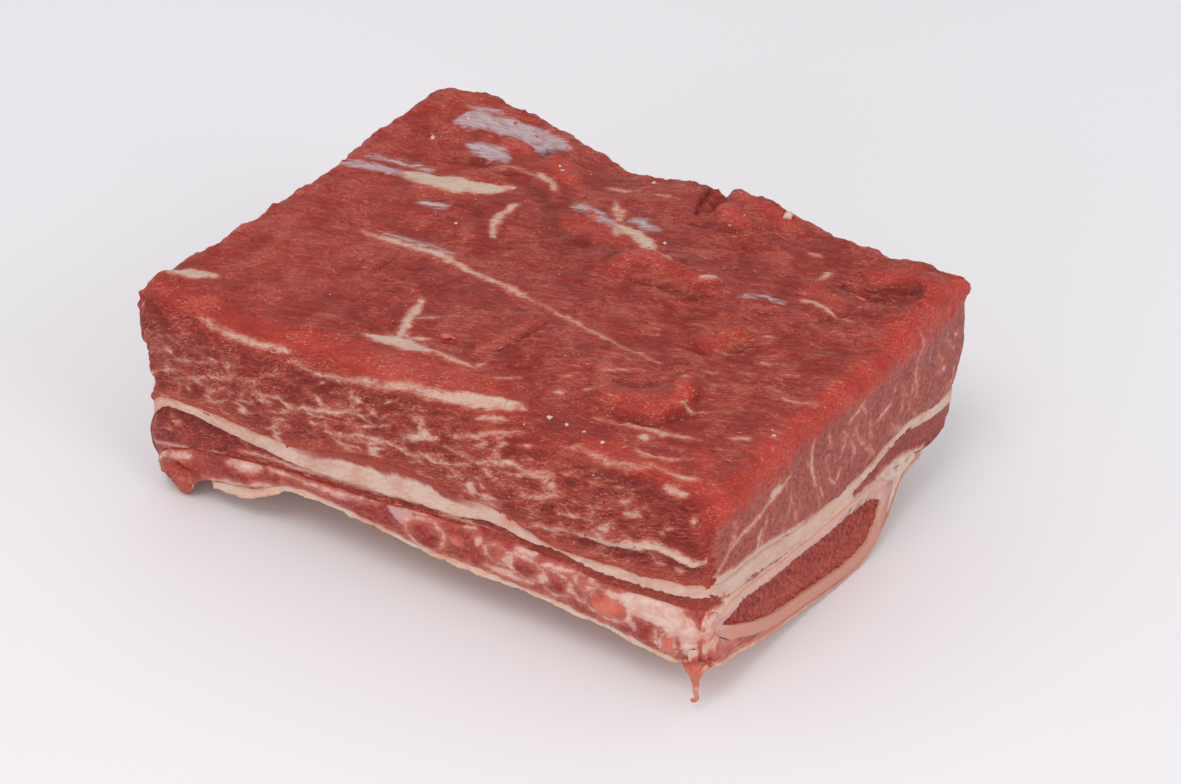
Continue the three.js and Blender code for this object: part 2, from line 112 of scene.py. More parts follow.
class Noise:
    """Seeded gradient noise in three dimensions, about -1 to 1, with cells one unit wide."""

    def __init__(self, seed: int) -> None:
        """Shuffles the table of slopes with the seed."""
        rng = np.random.default_rng(seed)
        self.order = rng.permutation(256)
        slopes = rng.normal(size=(256, 3))
        self.slopes = slopes / np.linalg.norm(slopes, axis=1, keepdims=True)

    def __call__(self, points: Array) -> Array:
        """The noise at each of the points."""
        base = np.floor(points).astype(np.int64)
        part = points - base
        ease = part**3 * (part * (6 * part - 15) + 10)
        total = np.zeros(points.shape[:-1])
        for corner in product((0, 1), repeat=3):
            step = np.array(corner)
            cell = (base + step) & 255
            plane = self.order[cell[..., 2]]
            line = self.order[(cell[..., 1] + plane) & 255]
            row = self.order[(cell[..., 0] + line) & 255]
            share = np.prod(np.where(step == 1, ease, 1 - ease), axis=-1)
            total += share * np.sum((part - step) * self.slopes[row], axis=-1)
        return total * 1.6


@dataclass(frozen=True)
class Grain:
    """The direction in which the muscle fibres of a face run."""

    along: tuple[float, float, float]

    def axes(self) -> Array:
        """Three unit vectors: along the fibres, then two across them."""
        a = unit(self.along)
        b = unit(np.cross(a, (0.13, -0.4, 0.9)))
        return np.array([a, b, np.cross(a, b)])

    def cells(self, points: Array, long: float, thick: float) -> Array:
        """Coordinates in which one unit is long along the fibres and thick across them."""
        return points @ self.axes().T / np.array([long, thick, thick])


TOP_GRAIN = Grain((1.0, 0.344, 0.0))
SIDE_GRAIN = Grain((1.0, 0.0, 0.306))
SAW_GRAIN = Grain((0.0, 1.0, 0.28))
WEB_GRAIN = Grain((0.0, -0.25, 1.0))

# A depth that lies well outside any stroke, in millimetres.
OUTSIDE = -3.0

# What a slab is drawn from: where its shares along and across lie, and how high it is at a place.
Place = Callable[[Array, Array], tuple[Array, Array]]
Height = Callable[[Array, Array], Array]


# ------------------------------------------------------------------ the block and its level surfaces
X0, X1, Y0, Y1 = -55.0, 55.0, -40.0, 40.0


@dataclass(frozen=True)
class Patch:
    """A surface over the block that meets a line on each of its four sides."""

    front: Line
    end: Line
    back: Line
    far_end: Line

    def __call__(self, x: Array, y: Array) -> Array:
        """The height or thickness over each place."""
        u = (x - X0) / (X1 - X0)
        v = (y - Y0) / (Y1 - Y0)
        ruled = mix(self.front(x), self.back(x), v) + mix(self.far_end(y), self.end(y), u)
        low = mix(self.front(X0), self.front(X1), u)
        return ruled - mix(low, mix(self.back(X0), self.back(X1), u), v)


SEAM_TOP = Patch(
    front=Line(
        (
            (-55, 16.3), (-50, 18.2), (-37, 18.5), (-22, 19.1), (-14, 21.6), (2, 22.9),
            (9, 21.7), (17, 22.3), (26, 19.9), (38, 20.7), (55, 22.8),
        )
    ),
    end=Line(
        (
            (-40, 22.8), (-33, 21.8), (-28, 22.2), (-15, 20.4), (0, 18.7),
            (9, 18.4), (20, 20.1), (29, 19.4), (40, 18.9),
        )
    ),
    back=Line(((-55, 19), (-30, 20.5), (0, 19.6), (30, 20), (55, 18.9))),
    far_end=Line(((-40, 16.3), (-25, 18.8), (0, 20.5), (20, 19.5), (40, 19))),
)
SEAM_THICKNESS = Patch(
    front=Line(
        (
            (-55, 2.9), (-50, 1.6), (-34, 2.5), (-22, 3.4), (-14, 5.2), (2, 5.3),
            (12, 3), (20, 2.6), (27, 1.1), (35, 2.6), (55, 3.3),
        )
    ),
    end=Line(((-40, 3.3), (-25, 4.2), (-15, 3.2), (0, 2), (12, 1.6), (20, 2.1), (40, 2.6))),
    back=Line(((-55, 2.6), (-30, 2), (0, 2.6), (30, 2.2), (55, 2.6))),
    far_end=Line(((-40, 2.9), (-20, 2.2), (5, 3), (40, 2.6))),
)
LOWER_THICKNESS = Patch(
    front=Line(
        (
            (-55, 9), (-50, 8.5), (-42, 6.2), (-33, 4.2), (-25, 2.6), (-10, 2),
            (7, 2), (20, 2), (34, 1.3), (55, 1.6),
        )
    ),
    end=Line(
        (
            (-40, 1.6), (-32, 0.9), (-10, 0.9), (0, 1.4), (8, 2.6),
            (20, 4.4), (29, 5.5), (35, 4.8), (40, 3.4),
        )
    ),
    back=Line(((-55, 4), (-20, 4.6), (20, 4), (55, 3.4))),
    far_end=Line(((-40, 9), (-25, 6.4), (0, 5), (20, 5.2), (40, 4))),
)
UNDERSIDE = Patch(
    front=Line(
        (
            (-55, 1.4), (-50, 1.6), (-46, 2.2), (-42, 4.3), (-33, 6), (-25, 9.4),
            (-9, 9.8), (2, 8.9), (20, 8.7), (36, 7.9), (50, 7.3), (55, 8.2),
        )
    ),
    end=Line(
        (
            (-40, 8.2), (-32, 6.5), (-26, 4.6), (-19, 2.8), (-12, 1.6), (-3, 0.4),
            (3, 0), (9, 1.1), (14, 3.9), (21, 8.6), (28, 9.9), (40, 10.9),
        )
    ),
    back=Line(((-55, 10.6), (0, 10.4), (55, 10.9))),
    far_end=Line(
        ((-40, 1.4), (-28, 1.6), (-14, 0.7), (-1, 0), (8, 0.3), (16, 2.8), (24, 8), (32, 9.7), (40, 10.6))
    ),
)
BONE_FRONT = Line(((-55, -30.5), (-40, -33), (-25, -35), (20, -35.2), (42, -36.6), (55, -38.7)))
BONE_BACK = Line(((-55, 18.4), (0, 17.2), (55, 16.6)))
UNDER_TISSUE = Line(((-55, 1.3), (0, 1.5), (40, 2.2), (55, 3.3)))
BACK_BY_HEIGHT = Line(
    ((10, -5.4), (12, -4.2), (16, -2.6), (19, -2.9), (23, -0.4), (27, 0.7), (34, 0.6), (42, 0.2))
)
BACK_BY_LENGTH = Line(
    (
        (-55, 3), (-44, 4.4), (-30, 4.2), (-20, 2.8), (-10, 2), (2, 2.6),
        (14, 1.9), (24, 0.4), (34, -0.8), (44, -1.2), (55, 0),
    )
)
FAR_END_BY_HEIGHT = Line(((0, 0.6), (4, 1), (16, 0.7), (24, 1.7), (31, 2.7), (38, 1.5), (43, 2)))


@dataclass(frozen=True)
class Ridge:
    """A torn ridge or fold that stands up from the top face."""

    through: Stations
    half: float
    height: float


def nearest(a: Array, b: Array, through: Sequence[Sequence[float]]) -> tuple[Array, Array, Array]:
    """Distance to a polyline in a plane, with the side it lies on and the share of the line's length.

    Args:
        a, b: the places' two coordinates in the plane.
        through: the polyline's points, of which the first two values are used.

    Returns:
        The distance, the side (+1 left of the line's run, -1 right of it) and the share of its length.
    """
    points = [tuple(p[:2]) for p in through]
    if len(points) == 1:
        return np.hypot(a - points[0][0], b - points[0][1]), np.ones_like(a), np.full_like(a, 0.5)
    spans = [math.dist(p, q) for p, q in zip(points, points[1:])]
    total, done = sum(spans), 0.0
    best = np.full(a.shape, np.inf)
    side, share = np.ones_like(a), np.zeros_like(a)
    for (p, q), span in zip(zip(points, points[1:]), spans):
        dx, dy = q[0] - p[0], q[1] - p[1]
        t = np.clip(((a - p[0]) * dx + (b - p[1]) * dy) / span**2, 0.0, 1.0)
        distance = np.hypot(a - p[0] - t * dx, b - p[1] - t * dy)
        closer = distance < best
        best = np.where(closer, distance, best)
        turn = np.sign(dx * (b - p[1]) - dy * (a - p[0]))
        side = np.where(closer, turn, side)
        share = np.where(closer, (done + t * span) / total, share)
        done += span
    return best, side, share


@dataclass(frozen=True)
class Block:
    """The plain block that the layers are drawn in, and how it bends to the real outline."""

    top: float = 38.0
    middle: tuple[float, float] = (1.25, -2.0)
    round_front: float = 6.5
    round_end: float = 3.2
    round_back: float = 2.2
    round_far_end: float = 1.8
    round_corner: float = 2.6
    membrane: float = 1.05
    gap: float = 0.32
    ridges: tuple[Ridge, ...] = (
        Ridge(((3.5, 10.1), (9, 13.8), (16.7, 14), (21.3, 13.3)), 3.2, 1.5),
        Ridge(((25, -25), (34, -21), (35.5, -15), (31, -9)), 2.6, 1.3),
        Ridge(((52, 20), (53.5, 26), (51.5, 33)), 2.4, 1.3),
    )

    def seam_top(self, x: Array, y: Array) -> Array:
        """Height of the upper face of the fat seam."""
        return SEAM_TOP(x, y)

    def seam_bottom(self, x: Array, y: Array) -> Array:
        """Height of the lower face of the fat seam."""
        return SEAM_TOP(x, y) - np.maximum(SEAM_THICKNESS(x, y), 0.9)

    def bone_level(self, x: Array, y: Array) -> Array:
        """Height of the lower face of the muscle over the bone."""
        return self.seam_bottom(x, y) - np.maximum(LOWER_THICKNESS(x, y), 0.85)

    def underside(self, x: Array, y: Array) -> Array:
        """Height of the block's underside."""
        return np.maximum(UNDERSIDE(x, y), 0.0)

    def film_top(self, x: Array, y: Array) -> Array:
        """Height of the upper face of the film under the bone."""
        return self.underside(x, y) + self.membrane

    def top_height(self, x: Array, y: Array) -> Array:
        """Height of the top face before its edges are rounded."""
        z = self.top + 0.35 * np.sin(x / 13 + 0.6) * np.cos(y / 11)
        z = z + 3.4 * hill(x, y, (-51, 42), (17, 14)) - 1.6 * hill(x, y, (-14, 41), (8, 11))
        z = z + 2 * hill(x, y, (15, 40), (8, 8))
        z = z - 2.4 * np.exp(-((nearest(x, y, ((6.9, 32.5), (5.3, 41.3)))[0] / 1.8) ** 2))
        z = z + 1.1 * hill(x, y, (17, -17), (17, 8)) - 2 * hill(x, y, (45, 28), (7, 4.5))
        z = z - 1.2 * smooth(x, 27, 32) * hill(x, y, (36, 1), (12, 8)) - 1.3 * hill(x, y, (-30, 33), (4, 3))
        for ridge in self.ridges:
            z = z + ridge.height * np.exp(-((nearest(x, y, ridge.through)[0] / ridge.half) ** 2))
        return z

    def rounded_top(self, x: Array, y: Array) -> Array:
        """Height of the top face with its rounded edges."""

        def drop(distance: Array, radius: float) -> Array:
            inside = np.clip(radius - distance, 0.0, radius)
            return radius - np.sqrt(radius**2 - inside**2)

        down = drop(y - Y0, self.round_front) + drop(Y1 - y, self.round_back)
        down = down + drop(X1 - x, self.round_end) + drop(x - X0, self.round_far_end)
        return self.top_height(x, y) - np.minimum(down, self.round_front + 1.2)

    def unrolled(self, p: Array) -> Array:
        """The top, its rounded front edge and the long side laid flat: y on top, and on down the side."""
        radius = self.round_front
        away = np.clip(p[..., 1] - Y0, 0.0, radius)
        turn = math.pi / 2 - np.arccos(1 - away / radius)
        border = self.top_height(p[..., 0], np.full_like(away, Y0)) - radius
        below = np.where(p[..., 1] < Y0 + 1e-6, np.maximum(border - p[..., 2], 0.0), 0.0)
        return np.where(p[..., 1] >= Y0 + radius, p[..., 1], Y0 + radius - radius * turn - below)

    def cornered(self, x: Array, y: Array) -> tuple[Array, Array]:
        """Rounds the four upright corners: squares round a corner turn into arcs."""
        radius = self.round_corner
        u = np.abs(x) - (X1 - radius)
        v = np.abs(y) - (Y1 - radius)
        inside = (u > 0) & (v > 0)
        reach = np.where(inside, np.maximum(u, v), 1.0)
        turn = np.where(u >= v, v / reach, 2 - u / reach) * math.pi / 4
        round_x = np.sign(x) * (X1 - radius + reach * np.cos(turn))
        round_y = np.sign(y) * (Y1 - radius + reach * np.sin(turn))
        return np.where(inside, round_x, x), np.where(inside, round_y, y)

    def carve(self, p: Array) -> Array:
        """Bends points of the plain block to the real outline, and moves the origin under its middle."""
        x, y, z = *self.cornered(p[..., 0], p[..., 1]), p[..., 2]
        back = BACK_BY_HEIGHT(z) + BACK_BY_LENGTH(x) * smooth(z, 12, 26) + 0.4 * np.sin(x / 6.1 + z / 5)
        far_end = FAR_END_BY_HEIGHT(z) - 1.5 * hill(y, 0, (-10, 0), (17, 1)) + 0.4 * np.sin(y / 5.3 + z / 4)
        end = 0.45 * np.sin(y / 7.3 + z / 6) - 0.5 * smooth(z, 30, 38)
        front = 0.35 * np.sin(x / 8.7 + z / 5.5) + 0.5 * smooth(x, 20, 34) * (smooth(z, 24.5, 27) - 0.5)

        def near(distance: Array) -> Array:
            return 1 - smooth(distance, 0, 26)

        corner_x = np.exp(-np.minimum(X1 - x, x - X0) / 2.2)
        corner_y = np.exp(-np.minimum(Y1 - y, y - Y0) / 2.2)
        pull = 0.98 * corner_x * corner_y
        return np.stack(
            [
                x + end * near(X1 - x) - far_end * near(x - X0) - np.sign(x) * pull + self.middle[0],
                y + back * near(Y1 - y) - front * near(y - Y0) - np.sign(y) * pull + self.middle[1],
                z,
            ],
            -1,
        )


BLOCK = Block()


# ------------------------------------------------------------------ strokes and ledges on a face
@dataclass(frozen=True)
class Stroke:
    """A soft-ended stroke, such as a vein of fat: its half width, and the points it runs through."""

    half: float
    through: Stations
    taper: float = 0.45

    def depth(self, a: Array, b: Array) -> Array:
        """How far inside the stroke each place is, in millimetres; places outside it are below zero."""
        distance, _, share = nearest(a, b, self.through)
        if len(self.through) == 1 or not self.taper:
            return self.half - distance
        return self.half * (4 * np.clip(share * (1 - share), 0.004, 1)) ** self.taper - distance


@dataclass(frozen=True)
class Ledge:
    """A torn edge: the face steps up to one side of a line and falls back to its level further off."""

    height: float
    reach: float
    through: Stations
    side: int = 1
    sharp: float = 0.3

    def rise(self, a: Array, b: Array) -> Array:
        """How far the face stands out at each place."""
        distance, side, share = nearest(a, b, self.through)
        signed = distance * side * self.side
        ends = smooth(np.minimum(share, 1 - share), 0.0, 0.12)
        step = self.height * smooth(signed, -self.sharp, self.sharp)
        return step * np.exp(-np.maximum(signed, 0) / self.reach) * ends


@dataclass(frozen=True)
class Spot:
    """A soft patch of brighter or darker flesh, which may also stand out or be sunk."""

    weight: float
    stroke: Stroke
    out: float = 0.0


def lips(a: Array, b: Array, strokes: Sequence[Stroke], height: float, reach: float) -> Array:
    """Thin sheets of flesh that end in a lip along each stroke: raised above it, level below it."""
    out = np.zeros_like(a)
    for stroke in strokes:
        if len(stroke.through) == 1:
            continue
        points = np.array(stroke.through)
        far = 4 * reach
        near = (a > points[:, 0].min() - far) & (a < points[:, 0].max() + far)
        near &= (b > points[:, 1].min() - far) & (b < points[:, 1].max() + far)
        if not near.any():
            continue
        distance, side, share = nearest(a[near], b[near], stroke.through)
        signed = distance * side * (1 if points[-1, 0] >= points[0, 0] else -1)
        ends = np.sqrt(4 * np.clip(share * (1 - share), 0, 1))
        lift = height * smooth(signed, -0.35, 0.3) * np.exp(-np.maximum(signed, 0) / reach) * ends
        out[near] = np.maximum(out[near], lift)
    return out


def deepest(a: Array, b: Array, strokes: Sequence[Stroke], floor: float = OUTSIDE) -> Array:
    """The greatest depth in any of the strokes, no less than floor."""
    best = np.full(a.shape, floor)
    for stroke in strokes:
        points = np.array(stroke.through)[:, :2]
        reach = stroke.half - floor
        near = (a > points[:, 0].min() - reach) & (a < points[:, 0].max() + reach)
        near &= (b > points[:, 1].min() - reach) & (b < points[:, 1].max() + reach)
        if near.any():
            best[near] = np.maximum(best[near], stroke.depth(a[near], b[near]))
    return best


@dataclass(frozen=True)
class Flakes:
    """Flakes of flesh drawn out along the fibres, as the cells of a jittered net."""

    seed: int
    long: float
    thick: float
    lean: float

    def parts(self, a: Array, b: Array) -> tuple[Array, Array]:
        """Distance to the flake's edge in millimetres, and the place across it, from about -1 to 1.

        Args:
            a, b: places on the unrolled face.
        """
        table = np.random.default_rng(self.seed).uniform(size=(64, 64, 2))
        u, v = a / self.long, (b - self.lean * a) / self.thick
        near, next_near, across_it = np.full(a.shape, np.inf), np.full(a.shape, np.inf), np.zeros(a.shape)
        for i, j in product((-1, 0, 1), repeat=2):
            row, column = np.floor(u).astype(int) + i, np.floor(v).astype(int) + j
            shift = 0.9 * (table[row % 64, column % 64] - 0.5) + 0.5
            du, dv = u - row - shift[..., 0], v - column - shift[..., 1]
            distance = np.hypot(du, dv)
            closer = distance < near
            next_near = np.where(closer, near, np.minimum(next_near, distance))
            across_it = np.where(closer, dv, across_it)
            near = np.where(closer, distance, near)
        return (next_near - near) * self.thick / 2, across_it


SIDE_FLAKES = Flakes(23, 8.6, 2.1, 0.3)
TOP_FLAKES = Flakes(24, 13.0, 2.6, 0.344)
FLAKED_BELOW = Line(
    (
        (-55, -38.5), (-40, -40.5), (-24, -41.2), (-3.6, -38.8),
        (16, -34.8), (26, -37.6), (42, -36.4), (55, -37.0),
    )
)


# ------------------------------------------------------------------ closed skins
def border(grid: Array) -> Array:
    """A grid's border, anticlockwise seen from above."""
    return np.concatenate([grid[:-1, 0], grid[-1, :-1], grid[:0:-1, -1], grid[0, :0:-1]])


class Skin:
    """A mesh in the plain block, gathered from grids, walls and rings."""

    def __init__(self) -> None:
        """Starts with no points and no faces."""
        self.rows: list[Array] = []
        self.count = 0
        self.faces: list[Array] = []

    def add(self, points: Array) -> Array:
        """Adds points and gives their numbers in the same layout."""
        flat = points.reshape(-1, 3)
        numbers = np.arange(self.count, self.count + len(flat)).reshape(points.shape[:-1])
        self.rows.append(flat)
        self.count += len(flat)
        return numbers

    @property
    def points(self) -> Array:
        """All points so far."""
        return np.concatenate(self.rows)

    def quads(self, a: Array, b: Array, c: Array, d: Array) -> None:
        """Adds four-sided faces from four equal lists of corners."""
        self.faces.append(np.stack([a.ravel(), b.ravel(), c.ravel(), d.ravel()], -1))

    def grid(self, n: Array, turned: bool = False) -> None:
        """Faces of a grid, facing up, or down when turned."""
        a, b, c, d = n[:-1, :-1], n[1:, :-1], n[1:, 1:], n[:-1, 1:]
        if turned:
            self.quads(a, d, c, b)
        else:
            self.quads(a, b, c, d)

    def wall(self, upper: Array, lower: Array) -> None:
        """Faces between two loops with as many points, facing outward when the loops run anticlockwise."""
        self.quads(upper, lower, np.roll(lower, -1), np.roll(upper, -1))

    def stitch(self, upper: Array, lower: Array) -> None:
        """A wall between two loops with different numbers of points, matched by their share of the length."""
        points = self.points

        def shares(loop: Array) -> Array:
            steps = np.linalg.norm(points[np.roll(loop, -1)][:, :2] - points[loop][:, :2], axis=1)
            return np.concatenate([[0.0], np.cumsum(steps)]) / steps.sum()

        up, low = shares(upper), shares(lower)
        i = j = 0
        made = []
        while i < len(upper) or j < len(lower):
            a, b = upper[i % len(upper)], lower[j % len(lower)]
            if j >= len(lower) or (i < len(upper) and up[i + 1] <= low[j + 1]):
                i += 1
                made.append((a, b, upper[i % len(upper)]))
            else:
                j += 1
                made.append((a, b, lower[j % len(lower)]))
        self.faces.append(np.array(made))

    def slab(
        self,
        place: Place,
        over: Height,
        under: Height,
        counts: tuple[int, int],
        rows: int,
        inner: tuple[int, int] = (28, 20),
        sole: tuple[int, int] = (28, 20),
    ) -> None:
        """A closed slab with a dense wall all round and coarser faces over and under.

        Args:
            place: gives the block's x and y for shares u and v of the slab's length and width.
            over, under: heights of its upper and lower face.
            counts: points along its length and width at the wall.
            rows: rows of points down the wall.
            inner, sole: points along and across the upper and the lower face.
        """
        u, v = np.meshgrid(np.linspace(0, 1, counts[0]), np.linspace(0, 1, counts[1]), indexing="ij")
        loop_x, loop_y = place(border(u), border(v))
        high, low = over(loop_x, loop_y), under(loop_x, loop_y)
        shares = np.linspace(0, 1, rows)
        loops = [self.add(np.stack([loop_x, loop_y, mix(high, low, s)], -1)) for s in shares]
        for upper, lower in zip(loops, loops[1:]):
            self.wall(upper, lower)
        for size, height, turned in ((inner, over, False), (sole, under, True)):
            inset = 0.6 / size[0]
            along, over_it = (np.linspace(inset, 1 - inset, count) for count in size)
            gu, gv = np.meshgrid(along, over_it, indexing="ij")
            gx, gy = place(gu, gv)
            numbers = self.add(np.stack([gx, gy, height(gx, gy)], -1))
            self.grid(numbers, turned)
            if turned:
                self.stitch(loops[-1], border(numbers))
            else:
                self.stitch(border(numbers), loops[0])

    def normals(self, points: Array) -> Array:
        """Unit normals of the skin at its points, wherever these have been moved to."""
        total = np.zeros_like(points)
        for faces in self.faces:
            corners = points[faces]
            if faces.shape[1] == 4:
                area = np.cross(corners[:, 2] - corners[:, 0], corners[:, 3] - corners[:, 1])
            else:
                area = np.cross(corners[:, 1] - corners[:, 0], corners[:, 2] - corners[:, 0])
            for k in range(faces.shape[1]):
                for axis in range(3):
                    total[:, axis] += np.bincount(faces[:, k], area[:, axis], len(points))
        return total / np.maximum(np.linalg.norm(total, axis=1, keepdims=True), 1e-9)

    def object(self, name: str, points: Array, values: dict[str, Array]) -> bpy.types.Object:
        """Makes the mesh object.

        Args:
            name: the object's name.
            points: its points in millimetres, in the row frame.
            values: values at the points that its finish reads.
        """
        loops = np.concatenate([f.ravel() for f in self.faces])
        sizes = np.concatenate([np.full(len(f), f.shape[1]) for f in self.faces])
        mesh = bpy.data.meshes.new(name)
        mesh.vertices.add(len(points))
        mesh.vertices.foreach_set("co", (points * MM).astype(np.float32).ravel())
        mesh.loops.add(len(loops))
        mesh.loops.foreach_set("vertex_index", loops.astype(np.int32))
        mesh.polygons.add(len(sizes))
        starts = np.concatenate([[0], np.cumsum(sizes)[:-1]])
        mesh.polygons.foreach_set("loop_start", starts.astype(np.int32))
        mesh.polygons.foreach_set("loop_total", sizes.astype(np.int32))
        mesh.polygons.foreach_set("use_smooth", np.ones(len(sizes), bool))
        for key, value in values.items():
            mesh.attributes.new(key, "FLOAT", "POINT").data.foreach_set("value", value.astype(np.float32))
        mesh.update(calc_edges=True)
        thing = bpy.data.objects.new(name, mesh)
        bpy.context.scene.collection.objects.link(thing)
        triangles = int(np.sum(sizes - 2))
        log.info("%s: %d triangles", name, triangles)
        return thing


# ------------------------------------------------------------------ shader building
class Signal:
    """A value in a shader, with arithmetic that adds Math nodes."""

    def __init__(self, shader: "Shader", socket: Any) -> None:
        """Wraps a node's output socket."""
        self.shader = shader
        self.socket = socket

    def _math(self, operation: str, *others: Any, clamp: bool = False) -> "Signal":
        """A Math node on this value and others."""
        return self.shader.node(
            "ShaderNodeMath", {"operation": operation, "use_clamp": clamp}, dict(enumerate((self, *others)))
        )

    def __add__(self, other: Any) -> "Signal":
        """The sum."""
        return self._math("ADD", other)

    __radd__ = __add__

    def __sub__(self, other: Any) -> "Signal":
        """The difference."""
        return self._math("SUBTRACT", other)

    def __rsub__(self, other: Any) -> "Signal":
        """A number less this value."""
        return self * -1.0 + other

    def __mul__(self, other: Any) -> "Signal":
        """The product."""
        return self._math("MULTIPLY", other)

    __rmul__ = __mul__

    def least(self, other: Any) -> "Signal":
        """The smaller of two values."""
        return self._math("MINIMUM", other)

    def held(self) -> "Signal":
        """The value kept from 0 to 1."""
        return self._math("ADD", 0.0, clamp=True)

    def step(self, low: float, high: float) -> "Signal":
        """A soft step from 0 at low to 1 at high."""
        return self.shader.node(
            "ShaderNodeMapRange",
            {"interpolation_type": "SMOOTHSTEP"},
            {"Value": self, "From Min": low, "From Max": high},
        )


class Shader:
    """A material under construction."""

    def __init__(self, name: str, **constants: Any) -> None:
        """Makes the material with its Principled shader and sets that shader's constant inputs."""
        self.material = bpy.data.materials.new(name)
        self.material.use_nodes = True
        self.tree = self.material.node_tree
        self.surface = self.tree.nodes["Principled BSDF"]
        for key, value in constants.items():
            self.surface.inputs[key.replace("_", " ")].default_value = value

    def node(self, kind: str, settings: dict[str, Any], inputs: dict[Any, Any], output: Any = 0) -> Signal:
        """Adds a node.

        Args:
            kind: the node's type.
            settings: properties of the node.
            inputs: values or signals for its inputs, by name or number.
            output: name or number of the output that is returned.
        """
        made = self.tree.nodes.new(kind)
        for key, value in settings.items():
            setattr(made, key, value)
        for key, value in inputs.items():
            if isinstance(value, Signal):
                self.tree.links.new(value.socket, made.inputs[key])
            else:
                made.inputs[key].default_value = value
        return Signal(self, made.outputs[output])

    def attribute(self, name: str) -> Signal:
        """A value stored at the mesh's points."""
        return self.node("ShaderNodeAttribute", {"attribute_name": name}, {}, "Fac")

    def place(self) -> Signal:
        """The place on the object, in millimetres."""
        here = self.node("ShaderNodeTexCoord", {}, {}, "Object")
        return self.node("ShaderNodeVectorMath", {"operation": "SCALE"}, {0: here, "Scale": 1000.0})

    def cells(self, place: Signal, grain: Grain, long: float, thick: float) -> Signal:
        """Coordinates in which one unit is long along the fibres and thick across them."""
        dot = {"operation": "DOT_PRODUCT"}
        parts = [
            self.node("ShaderNodeVectorMath", dot, {0: place, 1: tuple(axis / size)}, "Value")
            for axis, size in zip(grain.axes(), (long, thick, thick))
        ]
        return self.node("ShaderNodeCombineXYZ", {}, dict(enumerate(parts)))

    def swayed(self, place: Signal, scale: float, sway: float) -> Signal:
        """The place, pushed about softly by noise, by up to about half the sway in millimetres."""
        push = self.node("ShaderNodeTexNoise", {}, {"Vector": place, "Scale": scale, "Detail": 2.0}, "Color")
        scaled = self.node("ShaderNodeVectorMath", {"operation": "SCALE"}, {0: push, "Scale": sway})
        return self.node("ShaderNodeVectorMath", {"operation": "ADD"}, {0: place, 1: scaled})

    def noise(self, place: Signal, scale: float = 1.0, detail: float = 2.0, bend: float = 0.0) -> Signal:
        """Soft noise from 0 to 1 with the given number of cells to a unit."""
        return self.node(
            "ShaderNodeTexNoise",
            {"noise_dimensions": "3D"},
            {"Vector": place, "Scale": scale, "Detail": detail, "Roughness": 0.55, "Distortion": bend},
            "Fac",
        )

    def fibres(self, place: Signal, side: Signal, long: float, thick: float, detail: float = 2.0) -> Signal:
        """Noise drawn out along the fibres of the top or, where side is 1, of the long side."""
        top = self.noise(self.cells(place, TOP_GRAIN, long, thick), 1.0, detail, 0.15)
        front = self.noise(self.cells(place, SIDE_GRAIN, long, thick), 1.0, detail, 0.15)
        return top + (front - top) * side

    def blend(self, factor: Any, first: Any, second: Any) -> Signal:
        """The colour between two others."""
        colours = {}
        for key, value in (("A", first), ("B", second)):
            colours[key] = value if isinstance(value, Signal) else (*value, 1.0)
        made = self.tree.nodes.new("ShaderNodeMix")
        made.data_type = "RGBA"
        sockets = {"Factor": made.inputs[0], "A": made.inputs[6], "B": made.inputs[7]}
        for key, value in (("Factor", factor), *colours.items()):
            if isinstance(value, Signal):
                self.tree.links.new(value.socket, sockets[key])
            else:
                sockets[key].default_value = value
        return Signal(self, made.outputs[2])

    def finish(
        self, colour: Signal, roughness: Signal, relief: Signal, strength: float, depth: float
    ) -> bpy.types.Material:
        """Joins the colour, the roughness and the fine relief to the surface.

        Args:
            colour, roughness: what varies over the surface.
            relief: its fine height, 0 to 1.
            strength: share of that relief that is felt.
            depth: height of the relief, in millimetres.
        """
        heights = {"Strength": strength, "Distance": depth * MM, "Height": relief}
        bump = self.node("ShaderNodeBump", {}, heights, "Normal")
        for key, signal in (("Base Color", colour), ("Roughness", roughness), ("Normal", bump)):
            self.tree.links.new(signal.socket, self.surface.inputs[key])
        return self.material


